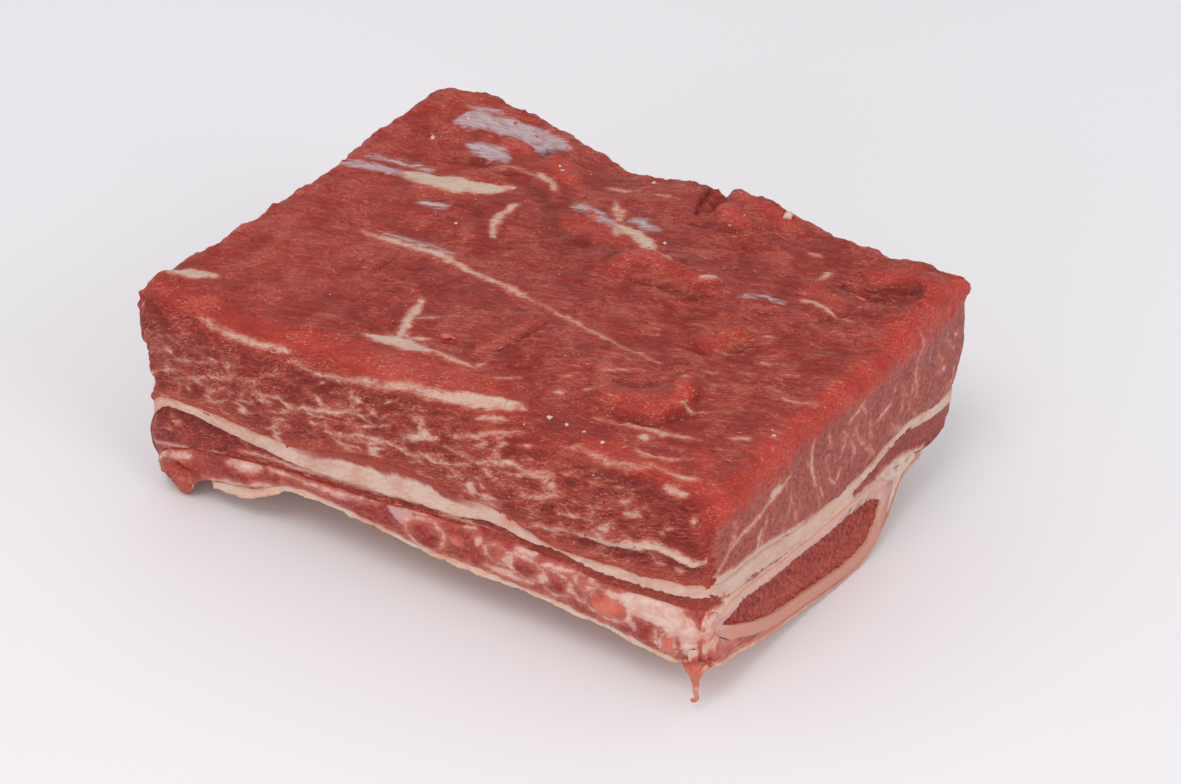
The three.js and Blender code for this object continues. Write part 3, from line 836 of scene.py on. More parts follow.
@dataclass(frozen=True)
class Palette:
    """Colours of raw beef as they look in soft daylight."""

    dark: Colour = tint(133, 35, 27)
    red: Colour = tint(155, 46, 35)
    light: Colour = tint(176, 82, 68)
    # Bright red flesh; on raised lips, ridges and the crest it also stands for painted light.
    bright: Colour = tint(196, 60, 44)
    # Painted shade for slits, hollows, the flesh under torn ledges and the long side.
    painted_shade: Colour = tint(92, 15, 10)
    cut_dark: Colour = tint(133, 49, 40)
    cut_light: Colour = tint(170, 88, 75)
    fat: Colour = tint(210, 182, 167)
    fat_pink: Colour = tint(202, 142, 126)
    cream: Colour = tint(210, 189, 171)
    silver: Colour = tint(198, 184, 188)
    silver_dark: Colour = tint(178, 140, 144)
    salmon: Colour = tint(204, 98, 74)
    tissue: Colour = tint(165, 57, 47)
    bone: Colour = tint(212, 166, 152)
    bone_grey: Colour = tint(199, 132, 110)
    marrow: Colour = tint(162, 55, 42)
    marrow_dark: Colour = tint(122, 40, 31)
    marrow_light: Colour = tint(190, 92, 74)
    film: Colour = tint(214, 156, 130)
    wedge: Colour = tint(232, 190, 160)
    # Pale fat crumbs, and painted glints on the muscle.
    crumb_and_glint: Colour = tint(222, 178, 162)
    blood: Colour = tint(148, 48, 39)
    seam_pink: Colour = tint(198, 150, 132)
    lower_dark: Colour = tint(124, 34, 26)
    lower_red: Colour = tint(152, 48, 37)
    lower_light: Colour = tint(178, 72, 57)
    tissue_dark: Colour = tint(134, 37, 30)
    lobe_dark: Colour = tint(126, 28, 22)
    lobe_red: Colour = tint(154, 46, 37)
    dome: Colour = tint(192, 80, 60)
    dome_pale: Colour = tint(206, 110, 88)
    membrane: Colour = tint(206, 168, 166)
    rosy: Colour = tint(218, 140, 122)
    lard_pink: Colour = tint(208, 158, 143)
    lard: Colour = tint(222, 194, 183)
    # Painted shade in a sunk pit of the side tissue.
    painted_pit_shade: Colour = tint(130, 30, 24)
    sawn: Colour = tint(196, 140, 134)
    bloody: Colour = tint(160, 78, 68)
    web: Colour = tint(206, 140, 122)
    shred: Colour = tint(206, 96, 80)
    shred_dark: Colour = tint(186, 72, 60)
    table: Colour = tint(238, 237, 241)
    table_light: Colour = tint(241, 240, 245)


PAINT = Palette()


@dataclass(frozen=True)
class MuscleFinish:
    """Moist raw muscle with fibres, marbling, silver skin, a mauve cross cut, and painted light and shade."""

    name: str
    dark: Colour = PAINT.dark
    red: Colour = PAINT.red
    light: Colour = PAINT.light
    cream: Colour = PAINT.cream

    def material(self) -> bpy.types.Material:
        """Builds the material."""
        s = Shader(
            self.name,
            Subsurface_Weight=0.12,
            Subsurface_Radius=(1.0, 0.3, 0.2),
            Subsurface_Scale=0.0016,
            Specular_IOR_Level=0.28,
        )
        place = s.place()
        side, cut = s.attribute("side"), s.attribute("cut")
        wavy = s.swayed(place, 0.09, 6.0)
        fine = s.fibres(wavy, side, 1.5, 0.3, 3.0)
        middle = s.fibres(wavy, side, 5.0, 1.0, 3.0)
        broad = s.noise(place, 0.17, 4.0, 0.8)
        grit = s.noise(place, 2.4, 3.0)
        tone = broad * 0.75 + middle * 0.45 + fine * 0.55 + grit * 0.5 - 0.625
        meat = s.blend(tone.step(0.36, 0.52), self.dark, self.red)
        meat = s.blend(tone.step(0.5, 0.68) * 0.9, meat, self.light)
        flecks = s.fibres(wavy, side, 2.8, 0.34, 1.0)
        marbled = flecks.step(0.6, 0.72) * s.attribute("marble")
        meat = s.blend(marbled * 0.55, meat, PAINT.fat_pink)
        glow = (s.attribute("glow") * (middle * 0.7 + fine * 0.9 + grit * 0.6 - 0.1)).held()
        # Bright red flesh; on raised lips, ridges, the torn step and the crest this brightness is painted
        # light as well.
        meat = s.blend(glow * (broad * 0.7 + 0.3) * 0.95, meat, PAINT.bright)
        # Pale streaks on the bright flesh, partly painted glints.
        meat = s.blend(glow * fine.step(0.58, 0.74) * 0.2, meat, PAINT.fat_pink)
        # Painted shade on the long side: darker all over, deepest between the fibres.
        meat = s.blend(side * ((0.55 - fine) * 2.6 + 0.22).held(), meat, PAINT.painted_shade)
        meat = s.blend(s.attribute("seamed") * 0.34, meat, PAINT.salmon)
        grain = s.noise(place, 1.1, 3.0, 0.8)
        threads = s.noise(place, 0.4, 4.0, 1.2)
        flesh = s.blend((grain * 0.6 + grit * 0.4).step(0.38, 0.6), PAINT.cut_dark, PAINT.cut_light)
        flesh = s.blend(threads.step(0.58, 0.74) * 0.4, flesh, PAINT.silver)
        meat = s.blend(cut * 0.92, meat, flesh)
        # Painted shade in slits, hollows, under torn ledges and under the seam's edge.
        meat = s.blend(s.attribute("painted_shade").held() * 0.75, meat, PAINT.painted_shade)
        fat, silver = s.attribute("fat"), s.attribute("silver")
        halo = fat.step(-1.0, 0.1) * 0.35
        meat = s.blend(halo, meat, PAINT.salmon)
        ragged = (fine - 0.5) * 1.6 + (middle - 0.5) * 1.4 + (grit - 0.5) * 0.4
        threaded = s.fibres(wavy, side, 9.0, 0.4, 2.0)
        skinned = (silver + (threaded - 0.5) * 1.7 + (middle - 0.5) * 1.6).step(-0.8, 0.8)
        sheen = s.blend((threaded * 0.7 + middle * 0.3).step(0.36, 0.6), PAINT.silver_dark, PAINT.silver)
        meat = s.blend(skinned * 0.85, meat, sheen)
        soft = fat + ragged * 0.6
        fatty = soft.step(-0.4, 0.42)
        pale = s.blend((soft + (grit - 0.5) * 0.8).step(-0.1, 0.75), PAINT.fat_pink, PAINT.fat)
        cream = s.blend((soft * 0.3 + middle * 0.6 + grit * 0.6).step(0.5, 0.95), PAINT.fat_pink, self.cream)
        body = s.blend(s.attribute("creamy"), pale, cream)
        meat = s.blend(fatty * (middle * 0.3 + 0.75).least(0.96), meat, body)
        # Painted glints: small pale specks on the moist surface, where it is also glossier.
        painted_glint = s.fibres(place, side, 0.6, 0.2, 0.0).step(0.66, 0.78) * broad.step(0.35, 0.6)
        meat = s.blend(painted_glint * (glow * 0.3 + 0.38), meat, PAINT.crumb_and_glint)
        rough = 0.44 + (grit - 0.5) * 0.5 - glow * 0.1 - skinned * 0.12 + cut * 0.06 - painted_glint * 0.2
        relief = fine * 0.5 + middle * 0.25 + grit * 0.35 + (grain * 0.4 - fine * 0.3) * cut
        return s.finish(meat, rough, relief, 1.0, 0.5)


@dataclass(frozen=True)
class FatFinish:
    """Firm or soft fat with a fine granular surface."""

    name: str
    pale: Colour
    pink: Colour
    grain: float = 0.9

    def material(self) -> bpy.types.Material:
        """Builds the material."""
        s = Shader(
            self.name,
            Subsurface_Weight=0.2,
            Subsurface_Radius=(1.0, 0.6, 0.4),
            Subsurface_Scale=0.0018,
            Specular_IOR_Level=0.34,
        )
        place = s.place()
        side = s.attribute("side")
        fine = s.fibres(place, side, 1.6, 0.5, 3.0)
        broad = s.noise(place, 0.16, 3.0, 0.6)
        speck = s.noise(place, self.grain, 3.0)
        colour = s.blend((broad * 0.7 + fine * 0.5 - 0.1).step(0.32, 0.66), self.pink, self.pale)
        colour = s.blend(speck.step(0.6, 0.75) * 0.35, colour, PAINT.cream)
        colour = s.blend(s.attribute("red").held(), colour, PAINT.blood)
        colour = s.blend(s.attribute("glow").held(), colour, PAINT.salmon)
        rough = 0.44 + (speck - 0.5) * 0.2
        return s.finish(colour, rough, speck * 0.6 + fine * 0.4, 0.5, 0.25)


@dataclass(frozen=True)
class TissueFinish:
    """Wet pink tissue with white membranes, salmon domes and silvery patches."""

    name: str

    def material(self) -> bpy.types.Material:
        """Builds the material."""
        s = Shader(
            self.name,
            Subsurface_Weight=0.2,
            Subsurface_Radius=(1.0, 0.4, 0.3),
            Subsurface_Scale=0.0018,
            Specular_IOR_Level=0.34,
        )
        place = s.place()
        side = s.attribute("side")
        fine = s.fibres(place, side, 2.6, 0.45, 3.0)
        broad = s.noise(place, 0.22, 3.0, 0.8)
        speck = s.noise(place, 1.2, 3.0, 0.4)
        tone = (broad * 0.8 + fine * 0.5 - 0.15).step(0.35, 0.65)
        colour = s.blend(tone, PAINT.tissue_dark, PAINT.tissue)
        colour = s.blend(speck.step(0.58, 0.76) * 0.16, colour, PAINT.fat_pink)
        lobe = s.blend(fine.step(0.4, 0.65), PAINT.lobe_dark, PAINT.lobe_red)
        colour = s.blend(s.attribute("lobe").held(), colour, lobe)
        dome = s.blend(broad.step(0.4, 0.6), PAINT.dome, PAINT.dome_pale)
        colour = s.blend(s.attribute("orange").held(), colour, dome)
        ragged = (fine - 0.5) * 0.9 + (speck - 0.5) * 0.9 + (broad - 0.5) * 1.2
        veil = s.noise(place, 0.42, 3.0, 0.9) - 0.5
        colour = s.blend((1 - (veil * veil).step(0.0001, 0.0016)) * 0.16, colour, PAINT.fat_pink)
        skinned = (s.attribute("silver") + ragged).step(-0.5, 0.5)
        colour = s.blend(skinned * 0.7, colour, PAINT.membrane)
        fat = s.attribute("fat") + ragged * 0.8
        colour = s.blend(fat.step(-1.2, 0.3) * 0.45, colour, PAINT.rosy)
        lard = s.blend((broad * 0.7 + speck * 0.3).step(0.36, 0.6), PAINT.lard_pink, PAINT.lard)
        lard = s.blend(s.attribute("creamy"), lard, PAINT.cream)
        fatty = fat.step(-0.2, 0.35)
        colour = s.blend(fatty * (fine * 0.5 + fat.step(0.3, 1.4) * 0.35 + 0.35).least(0.93), colour, lard)
        # Painted shade in the sunk pit.
        colour = s.blend(s.attribute("painted_shade").held() * 0.6, colour, PAINT.painted_pit_shade)
        rough = 0.36 + (speck - 0.5) * 0.25 + fatty * 0.06
        return s.finish(colour, rough, fine * 0.6 + speck * 0.4, 0.5, 0.3)


@dataclass(frozen=True)
class BoneFinish:
    """Freshly sawn bone: pinkish grey, smooth, with faint saw marks and a bloody inner edge."""

    name: str

    def material(self) -> bpy.types.Material:
        """Builds the material."""
        s = Shader(
            self.name,
            Subsurface_Weight=0.15,
            Subsurface_Radius=(1.0, 0.6, 0.5),
            Subsurface_Scale=0.0012,
            Specular_IOR_Level=0.45,
        )
        place = s.place()
        broad = s.noise(place, 0.3, 3.0, 0.5)
        speck = s.noise(place, 1.6, 3.0)
        sawn = s.noise(s.cells(place, SAW_GRAIN, 9.0, 0.5), 1.0, 2.0)
        colour = s.blend(s.attribute("lower").held(), PAINT.bone, PAINT.bone_grey)
        colour = s.blend((broad * 0.6 + sawn * 0.4).step(0.4, 0.65) * 0.5, colour, PAINT.sawn)
        colour = s.blend(s.attribute("bloody").held() * 0.85, colour, PAINT.bloody)
        colour = s.blend(speck.step(0.62, 0.74) * 0.25, colour, PAINT.cream)
        rough = 0.42 + (sawn - 0.5) * 0.2
        return s.finish(colour, rough, sawn * 0.6 + speck * 0.4, 0.4, 0.15)


@dataclass(frozen=True)
class MarrowFinish:
    """Spongy bone core: dark red cells between paler, bony webs that run from face to face."""

    name: str

    def material(self) -> bpy.types.Material:
        """Builds the material."""
        s = Shader(
            self.name,
            Subsurface_Weight=0.1,
            Subsurface_Radius=(1.0, 0.3, 0.2),
            Subsurface_Scale=0.001,
            Specular_IOR_Level=0.36,
        )
        place = s.place()
        cells = s.noise(s.cells(place, WEB_GRAIN, 1.1, 0.5), 1.0, 3.0, 0.6)
        speck = s.noise(place, 1.9, 3.0)
        colour = s.blend(cells.step(0.36, 0.52), PAINT.marrow_dark, PAINT.marrow)
        colour = s.blend(cells.step(0.52, 0.68) * 0.8, colour, PAINT.marrow_light)
        colour = s.blend(speck.step(0.57, 0.7) * 0.5, colour, PAINT.web)
        colour = s.blend(s.attribute("lower").held() * 0.35, colour, PAINT.marrow_light)
        rough = 0.42 + (speck - 0.5) * 0.4
        return s.finish(colour, rough, cells * 0.6 + speck * 0.4, 0.9, 0.4)


# ------------------------------------------------------------------ the strokes of fat, skin and torn flesh
# Points are [along the bone, place on the unrolled top and long side]; see Block.unrolled.
SIDE_VEINS = (
    Stroke(0.42, ((-31.0, -48.8), (-25.4, -47.2), (-23.1, -48.4), (-20.1, -47.4), (-15.9, -46.6))),
    Stroke(0.3, ((-40.6, -53.8), (-37.1, -52.5))),
    Stroke(0.2, ((-34.7, -51.8), (-31.2, -50.4))),
    Stroke(0.22, ((-40.1, -52.3), (-36.6, -49.7))),
    Stroke(0.32, ((-45.2, -52.9), (-44.1, -53.0))),
    Stroke(0.22, ((-27.3, -50.7), (-23.1, -49.0))),
    Stroke(0.25, ((-46.7, -48.1), (-40.6, -46.4))),
    Stroke(0.17, ((-47.8, -52.1), (-38.0, -48.4), (-29.1, -45.5))),
    Stroke(0.5, ((-41.9, -38.8), (-36.4, -39.8), (-30.0, -39.9), (-24.0, -39.1))),
    Stroke(0.36, ((-9.8, -49.2), (-8.7, -49.7), (-3.5, -47.7))),
    Stroke(0.42, ((-2.9, -48.3), (1.2, -48.3), (3.2, -47.2), (7.9, -47.0), (9.8, -46.5), (12.7, -44.9))),
    Stroke(0.62, ((0.3, -45.2), (3.4, -43.5), (5.8, -43.1))),
    Stroke(0.22, ((9.1, -41.4), (19.7, -37.5))),
    Stroke(0.42, ((10.0, -43.9), (14.1, -44.2), (16.8, -43.1), (20.3, -42.1), (22.5, -42.8), (25.3, -42.9))),
    Stroke(0.32, ((13.5, -41.8), (14.9, -41.0))),
    Stroke(0.38, ((14.8, -45.1), (16.4, -45.2))),
    Stroke(0.42, ((13.8, -48.1), (14.6, -48.9))),
    Stroke(0.58, ((13.6, -51.2), (15.9, -49.9))),
    Stroke(0.3, ((7.4, -49.8), (10.0, -47.9))),
    Stroke(0.3, ((1.3, -51.6), (3.0, -50.7))),
    Stroke(0.34, ((21.9, -47.4), (25.6, -46.2), (29.3, -43.8))),
    Stroke(0.2, ((-13.0, -51.3), (-9.8, -51.2))),
    Stroke(0.22, ((-22.0, -40.7), (-19.8, -40.6))),
    Stroke(0.42, ((-21.6, -47.9), (-18.0, -47.2), (-11.1, -44.8), (-7.3, -45.5))),
    Stroke(0.36, ((-11.7, -42.6), (-9.8, -42.2), (-10.5, -43.9), (-9.1, -43.6))),
    Stroke(
        0.36,
        ((-16.1, -48.6), (-16.4, -50.0), (-15.0, -50.5), (-10.6, -48.8), (-4.1, -48.0), (-0.8, -48.1)),
    ),
    Stroke(0.5, ((0.3, -41.6), (3.0, -40.9), (2.7, -42.6), (3.8, -42.9), (0.2, -45.3), (5.0, -43.7))),
    Stroke(0.45, ((11.4, -37.7), (16.1, -36.4))),
    Stroke(0.2, ((13.1, -39.7), (20.0, -37.2))),
    Stroke(0.3, ((26.1, -44.3), (26.3, -45.2))),
    Stroke(0.22, ((30.4, -45.1), (31.9, -45.1))),
    Stroke(0.55, ((45.3, -37.7), (47.6, -38.2), (49.6, -37.7))),
    Stroke(0.3, ((28.9, -47.8), (32.8, -47.1), (35.1, -47.1))),
    Stroke(0.48, ((39.6, -43.7), (43.0, -43.1))),
    Stroke(0.38, ((35.6, -49.4), (38.0, -46.4), (39.4, -45.6))),
    Stroke(0.25, ((43.9, -49.5), (45.4, -49.7), (45.7, -50.9), (47.1, -50.6))),
    Stroke(0.5, ((51.8, -41.1),)),
    Stroke(0.22, ((48.3, -43.1), (46.6, -44.9))),
    Stroke(0.28, ((49.4, -51.0), (50.9, -50.8))),
    Stroke(0.28, ((21.2, -53.5), (25.9, -51.5), (30.8, -50.8))),
)
FLAP_EDGE = (
    (-24.0, -40.6), (-17.5, -40.9), (-12.7, -40.1), (-3.6, -38.0),
    (3.1, -36.5), (10.4, -35.3), (16.4, -33.5),
)
FLAP_TIP = (*FLAP_EDGE, (17.8, -31.6), (16.4, -29.6), (12.0, -29.0))
BAND_EDGE = ((27.5, -37.5), (30.6, -37.2), (34.2, -37.4), (37.2, -37.4), (39.7, -36.9), (42.5, -35.2))
UPPER_SEAM = (
    (30.8, -50.8), (35.6, -49.7), (38.0, -49.5), (42.7, -48.3),
    (46.8, -46.9), (52.7, -48.0), (56.5, -47.8),
)
LEDGE_SEAM = ((33.0, -50.9), (38.0, -50.2), (42.7, -49.1), (46.8, -47.9), (52.7, -48.8), (60.0, -48.6))
EDGE_FAT = (
    Stroke(0.36, FLAP_EDGE, 0.3),
    Stroke(0.5, ((-10.0, -39.8), (-3.6, -38.1), (3.1, -36.7), (10.4, -35.5))),
    Stroke(0.85, ((1.5, -37.4), (10.4, -35.5), (17.2, -33.2)), 0.35),
    Stroke(0.28, BAND_EDGE),
    Stroke(0.38, ((37.4, -33.7), (40.1, -34.1), (42.7, -33.0), (44.6, -31.8))),
    Stroke(0.28, ((42.1, -35.3), (44.7, -35.3), (46.9, -35.8), (49.5, -34.8))),
    Stroke(0.75, UPPER_SEAM, 0.3),
    Stroke(0.85, ((42.0, -48.2), (47.5, -47.0))),
)
TOP_FAT = (
    Stroke(0.8, ((-14.6, -16.6), (-13.4, -20.3), (-11.8, -25.5), (-10.4, -29.4)), 0.35),
    Stroke(1.5, ((-15.4, -31.0), (-12.1, -29.7), (-8.4, -29.2), (-3.2, -28.9))),
    Stroke(0.5, ((-5.0, -28.9), (0.6, -28.6), (4.0, -28.3))),
    Stroke(0.42, ((-11.0, -27.0), (-8.9, -27.1), (-6.1, -25.6))),
    Stroke(0.25, ((-11.8, -22.5), (-9.0, -20.0))),
    Stroke(0.28, ((3.9, -28.3), (4.9, -25.9))),
    Stroke(1.3, ((-54.0, -32.6), (-50.7, -31.4), (-46.0, -29.6)), 0.35),
    Stroke(0.6, ((-37.0, -4.2), (-29.3, -3.7), (-21.3, -3.2), (-11.8, -5.1), (-4.0, -6.6)), 0.3),
    Stroke(0.55, ((-15.0, -4.6), (-11.8, -5.1), (-2.4, -6.9), (1.2, -7.5))),
    Stroke(0.26, ((0.9, -7.5), (11.2, -9.8), (19.9, -11.4), (27.8, -12.1))),
    Stroke(0.34, ((27.2, -29.9), (31.3, -29.1), (33.3, -28.6), (40.5, -26.9), (44.0, -25.9))),
    Stroke(0.5, ((36.2, -28.4), (38.6, -27.5), (41.0, -26.8))),
    Stroke(0.85, ((36.7, -30.0),)),
    Stroke(0.5, ((18.4, -27.0), (19.7, -26.4))),
    Stroke(0.2, ((21.6, -19.2), (25.6, -16.4))),
    Stroke(0.2, ((17.1, -23.7), (18.5, -22.8))),
    Stroke(0.26, ((8.6, -29.0), (11.6, -26.6))),
    Stroke(0.26, ((22.2, -24.6), (23.6, -24.1))),
    Stroke(0.32, ((36.3, -21.5), (38.8, -20.1), (41.9, -19.0))),
    Stroke(0.34, ((33.4, -14.8), (34.8, -14.2))),
    Stroke(0.32, ((47.8, -23.1), (50.3, -21.7))),
    Stroke(0.2, ((49.0, -9.4), (51.9, -8.4), (54.4, -6.8))),
    Stroke(0.24, ((33.0, -1.6), (35.7, -0.3))),
    Stroke(0.24, ((39.5, -0.8), (41.5, -0.2))),
    Stroke(0.24, ((34.7, -10.2), (36.3, -7.8))),
    Stroke(0.2, ((44.5, -7.4), (47.5, -6.7))),
    Stroke(0.22, ((36.0, 5.7), (37.5, 6.1))),
    Stroke(0.16, ((44.4, -2.5), (47.0, -1.2))),
    Stroke(0.16, ((38.9, -6.3), (40.9, -4.6))),
    Stroke(0.3, ((53.1, -18.6),)),
    Stroke(0.6, ((35.3, 18.1), (37.6, 18.1), (38.8, 17.4), (42.0, 16.9))),
    Stroke(0.26, ((40.0, 17.2), (46.3, 16.2))),
    Stroke(0.5, ((34.6, 25.1), (35.2, 28.8))),
    Stroke(0.32, ((28.9, 31.4), (31.2, 31.4))),
    Stroke(0.55, ((19.9, 12.0), (22.3, 14.2))),
    Stroke(0.3, ((-11.5, 30.3), (-8.1, 30.7), (-6.6, 31.8))),
    Stroke(0.14, ((-3.3, 31.7), (1.4, 32.3))),
    Stroke(0.36, ((-5.9, 35.4),)),
    Stroke(0.7, ((-24.2, 26.9), (-20.7, 26.0), (-17.6, 24.5))),
    Stroke(0.16, ((-32.4, 23.5), (-27.2, 25.7), (-23.8, 26.2))),
    Stroke(0.26, ((9.0, 15.5), (13.0, 14.5))),
)
CREAM_FAT = (
    Stroke(2.1, ((-42.6, 15.6), (-38.2, 16.0), (-34.1, 16.8), (-29.6, 17.8), (-25.5, 19.6)), 0.3),
    Stroke(0.7, ((-27.0, 19.5), (-24.0, 21.4))),
    Stroke(0.85, ((-20.4, 17.4), (-20.8, 12.8), (-19.4, 9.4), (-17.6, 6.4))),
    Stroke(1.25, ((-3.6, 20.9), (1.1, 20.3), (4.9, 18.8), (9.0, 15.5))),
    Stroke(0.55, ((-7.6, 26.9), (-3.3, 22.2))),
    Stroke(0.3, ((-4.6, 25.6), (-3.0, 22.0))),
    Stroke(0.5, ((-3.0, 20.4), (-0.4, 17.8))),
)
SILVER_SKIN = (
    Stroke(2.3, ((-45.0, 31.2), (-42.6, 32.0), (-39.0, 32.9))),
    Stroke(
        2.2,
        ((-43.5, 32.0), (-39.5, 32.8), (-35.0, 33.9), (-31.0, 34.6), (-27.4, 35.0), (-24.0, 35.2)),
        0.5,
    ),
    Stroke(0.4, ((-45.4, 34.6), (-39.7, 35.9))),
    Stroke(1.4, ((-38.4, 26.6), (-35.6, 26.8), (-33.4, 26.6), (-30.2, 26.2))),
    Stroke(1.0, ((-54.6, 12.8), (-48.0, 14.4), (-42.0, 15.4))),
    Stroke(0.35, ((-51.0, 16.8), (-45.3, 18.0), (-39.2, 18.9))),
    Stroke(0.7, ((-34.6, 9.3), (-30.4, 10.4))),
    Stroke(0.95, ((-12.6, 22.4), (-7.7, 21.7), (-3.0, 20.6))),
    Stroke(0.7, ((-2.1, 23.2), (-0.1, 24.2), (2.0, 22.6), (4.2, 23.0))),
    Stroke(0.42, ((27.4, 13.1), (30.9, 15.2), (33.8, 15.0))),
    Stroke(0.4, ((-34.0, -2.4), (-26.0, -1.9), (-19.0, -2.2))),
)
# Brighter red flesh; where a spot stands out as a lip, a ridge or the torn step, its brightness is painted
# light as well.
GLOWING = (
    Spot(
        0.72,
        Stroke(
            3.2,
            ((-43.0, -38.6), (-26.0, -38.0), (-14.0, -36.3), (-2.0, -33.6), (8.0, -32.2), (15.5, -31.2)),
            0.25,
        ),
    ),
    Spot(0.7, Stroke(1.9, ((30.5, -35.6), (35.0, -35.6), (40.0, -35.2), (46.0, -35.3), (50.5, -36.4)), 0.3)),
    Spot(
        1.0,
        Stroke(
            1.5,
            ((29.0, -26.4), (33.0, -25.4), (36.0, -23.6), (37.0, -20.6), (36.0, -17.2), (33.4, -15.2)),
            0.35,
        ),
        0.5,
    ),
    Spot(0.6, Stroke(2.6, ((24.0, -24.0), (29.0, -22.6), (32.0, -19.0)), 0.35)),
    Spot(0.55, Stroke(1.8, ((5.6, 7.2), (6.4, 11.6), (9.0, 13.0), (14.0, 12.8), (19.4, 11.6)), 0.35), 0.4),
    Spot(0.9, Stroke(1.3, ((27.5, -3.0), (30.4, -1.4), (31.4, 2.4), (33.0, 4.6)), 0.35), 0.5),
    Spot(0.9, Stroke(2.0, ((-24.5, 31.4), (-20.4, 29.6), (-17.0, 28.8)), 0.3), 0.6),
    Spot(0.9, Stroke(1.5, ((-34.6, 29.0), (-31.0, 30.4), (-28.0, 30.0)), 0.3), 0.5),
    Spot(0.7, Stroke(2.2, ((9.5, 33.4), (13.4, 31.4), (16.0, 31.8)), 0.3), 0.6),
    Spot(0.6, Stroke(2.0, ((9.5, 37.6), (17.0, 37.8), (24.0, 36.0)), 0.3)),
    Spot(0.7, Stroke(2.0, ((41.6, 31.6), (46.3, 34.4), (51.0, 34.6), (53.6, 31.0)), 0.3), 0.4),
    Spot(0.6, Stroke(2.6, ((-12.0, 18.0), (-4.0, 17.6), (2.0, 16.4)), 0.3)),
    Spot(0.5, Stroke(2.8, ((46.0, -28.0), (51.0, -33.0), (53.5, -39.0), (54.0, -45.0)), 0.3)),
    Spot(0.7, Stroke(2.2, ((34.0, 20.6), (38.0, 21.0), (42.0, 20.0)), 0.3)),
    Spot(0.5, Stroke(2.4, ((-52.0, -36.0), (-46.0, -38.0), (-40.0, -36.0)), 0.3)),
    Spot(0.3, Stroke(1.2, ((4.6, -10.8), (4.8, -16.0), (3.6, -22.0)), 0.3)),
)
# Painted shade under torn edges and ledges, and in slits, hollows and sunk folds; most of these spots are
# sunk as well.
PAINTED_SHADE_SPOTS = (
    Spot(
        0.5,
        Stroke(1.5, ((-22.0, -42.6), (-12.0, -41.8), (-3.0, -40.0), (8.0, -38.4), (15.0, -37.2)), 0.4),
    ),
    Spot(0.6, Stroke(1.5, ((30.0, -39.6), (38.0, -39.4), (44.0, -39.4)), 0.4)),
    Spot(1.0, Stroke(1.0, ((-30.0, 31.4), (-28.4, 32.4), (-26.6, 33.4))), -1.6),
    Spot(0.8, Stroke(0.28, ((-27.4, -6.1), (-27.2, -10.0), (-27.0, -14.2))), -0.8),
    Spot(0.9, Stroke(0.32, ((6.5, -11.9), (6.0, -17.0), (5.2, -21.6))), -0.8),
    Spot(1.0, Stroke(0.45, ((2.6, 39.6), (4.4, 34.6), (6.4, 30.2))), -1.6),
    Spot(0.5, Stroke(2.6, ((37.0, 24.4), (42.0, 25.0), (46.0, 27.0)), 0.3), -0.3),
    Spot(0.9, Stroke(0.8, ((42.0, 28.6), (46.4, 30.6), (51.0, 30.4), (52.0, 27.6))), -0.6),
    Spot(0.6, Stroke(1.2, ((25.0, -20.4), (29.0, -20.0), (31.6, -17.6)), 0.3), -0.3),
    Spot(0.9, Stroke(0.8, ((33.4, -2.4), (34.4, 1.4), (36.0, 3.8)), 0.3), -0.5),
    Spot(
        0.45,
        Stroke(1.1, ((31.0, -52.2), (36.0, -51.6), (42.0, -50.8), (47.0, -49.4), (54.0, -50.4)), 0.3),
        -0.4,
    ),
    Spot(0.7, Stroke(0.6, ((-40.5, 22.0), (-34.0, 24.0), (-26.6, 24.4))), -0.5),
    Spot(0.6, Stroke(1.2, ((-24.0, 24.2), (-18.0, 21.0), (-14.0, 20.4))), -0.3),
    Spot(0.7, Stroke(0.6, ((30.0, -28.0), (36.4, -26.2), (39.4, -21.4), (38.4, -16.4))), -0.4),
    Spot(0.7, Stroke(0.9, ((3.4, 8.6), (3.8, 12.6), (6.4, 16.0), (11.0, 16.2), (17.0, 14.6))), -0.5),
    Spot(0.7, Stroke(0.9, ((9.0, 7.0), (15.0, 8.0), (20.6, 8.2), (23.0, 9.6))), -0.4),
    Spot(0.6, Stroke(1.0, ((6.5, 27.4), (11.0, 29.0), (16.0, 29.4))), -0.5),
    Spot(0.6, Stroke(0.8, ((-46.6, 20.6), (-42.0, 20.4))), -0.4),
    Spot(0.5, Stroke(1.4, ((-30.0, 12.6), (-26.0, 13.0), (-23.6, 11.0))), -0.3),
    Spot(0.5, Stroke(1.6, ((-17.0, 20.0), (-10.0, 14.0), (-2.0, 12.4))), -0.3),
    Spot(0.7, Stroke(0.7, ((41.0, 13.0), (44.0, 19.0), (47.2, 20.4))), -0.4),
)
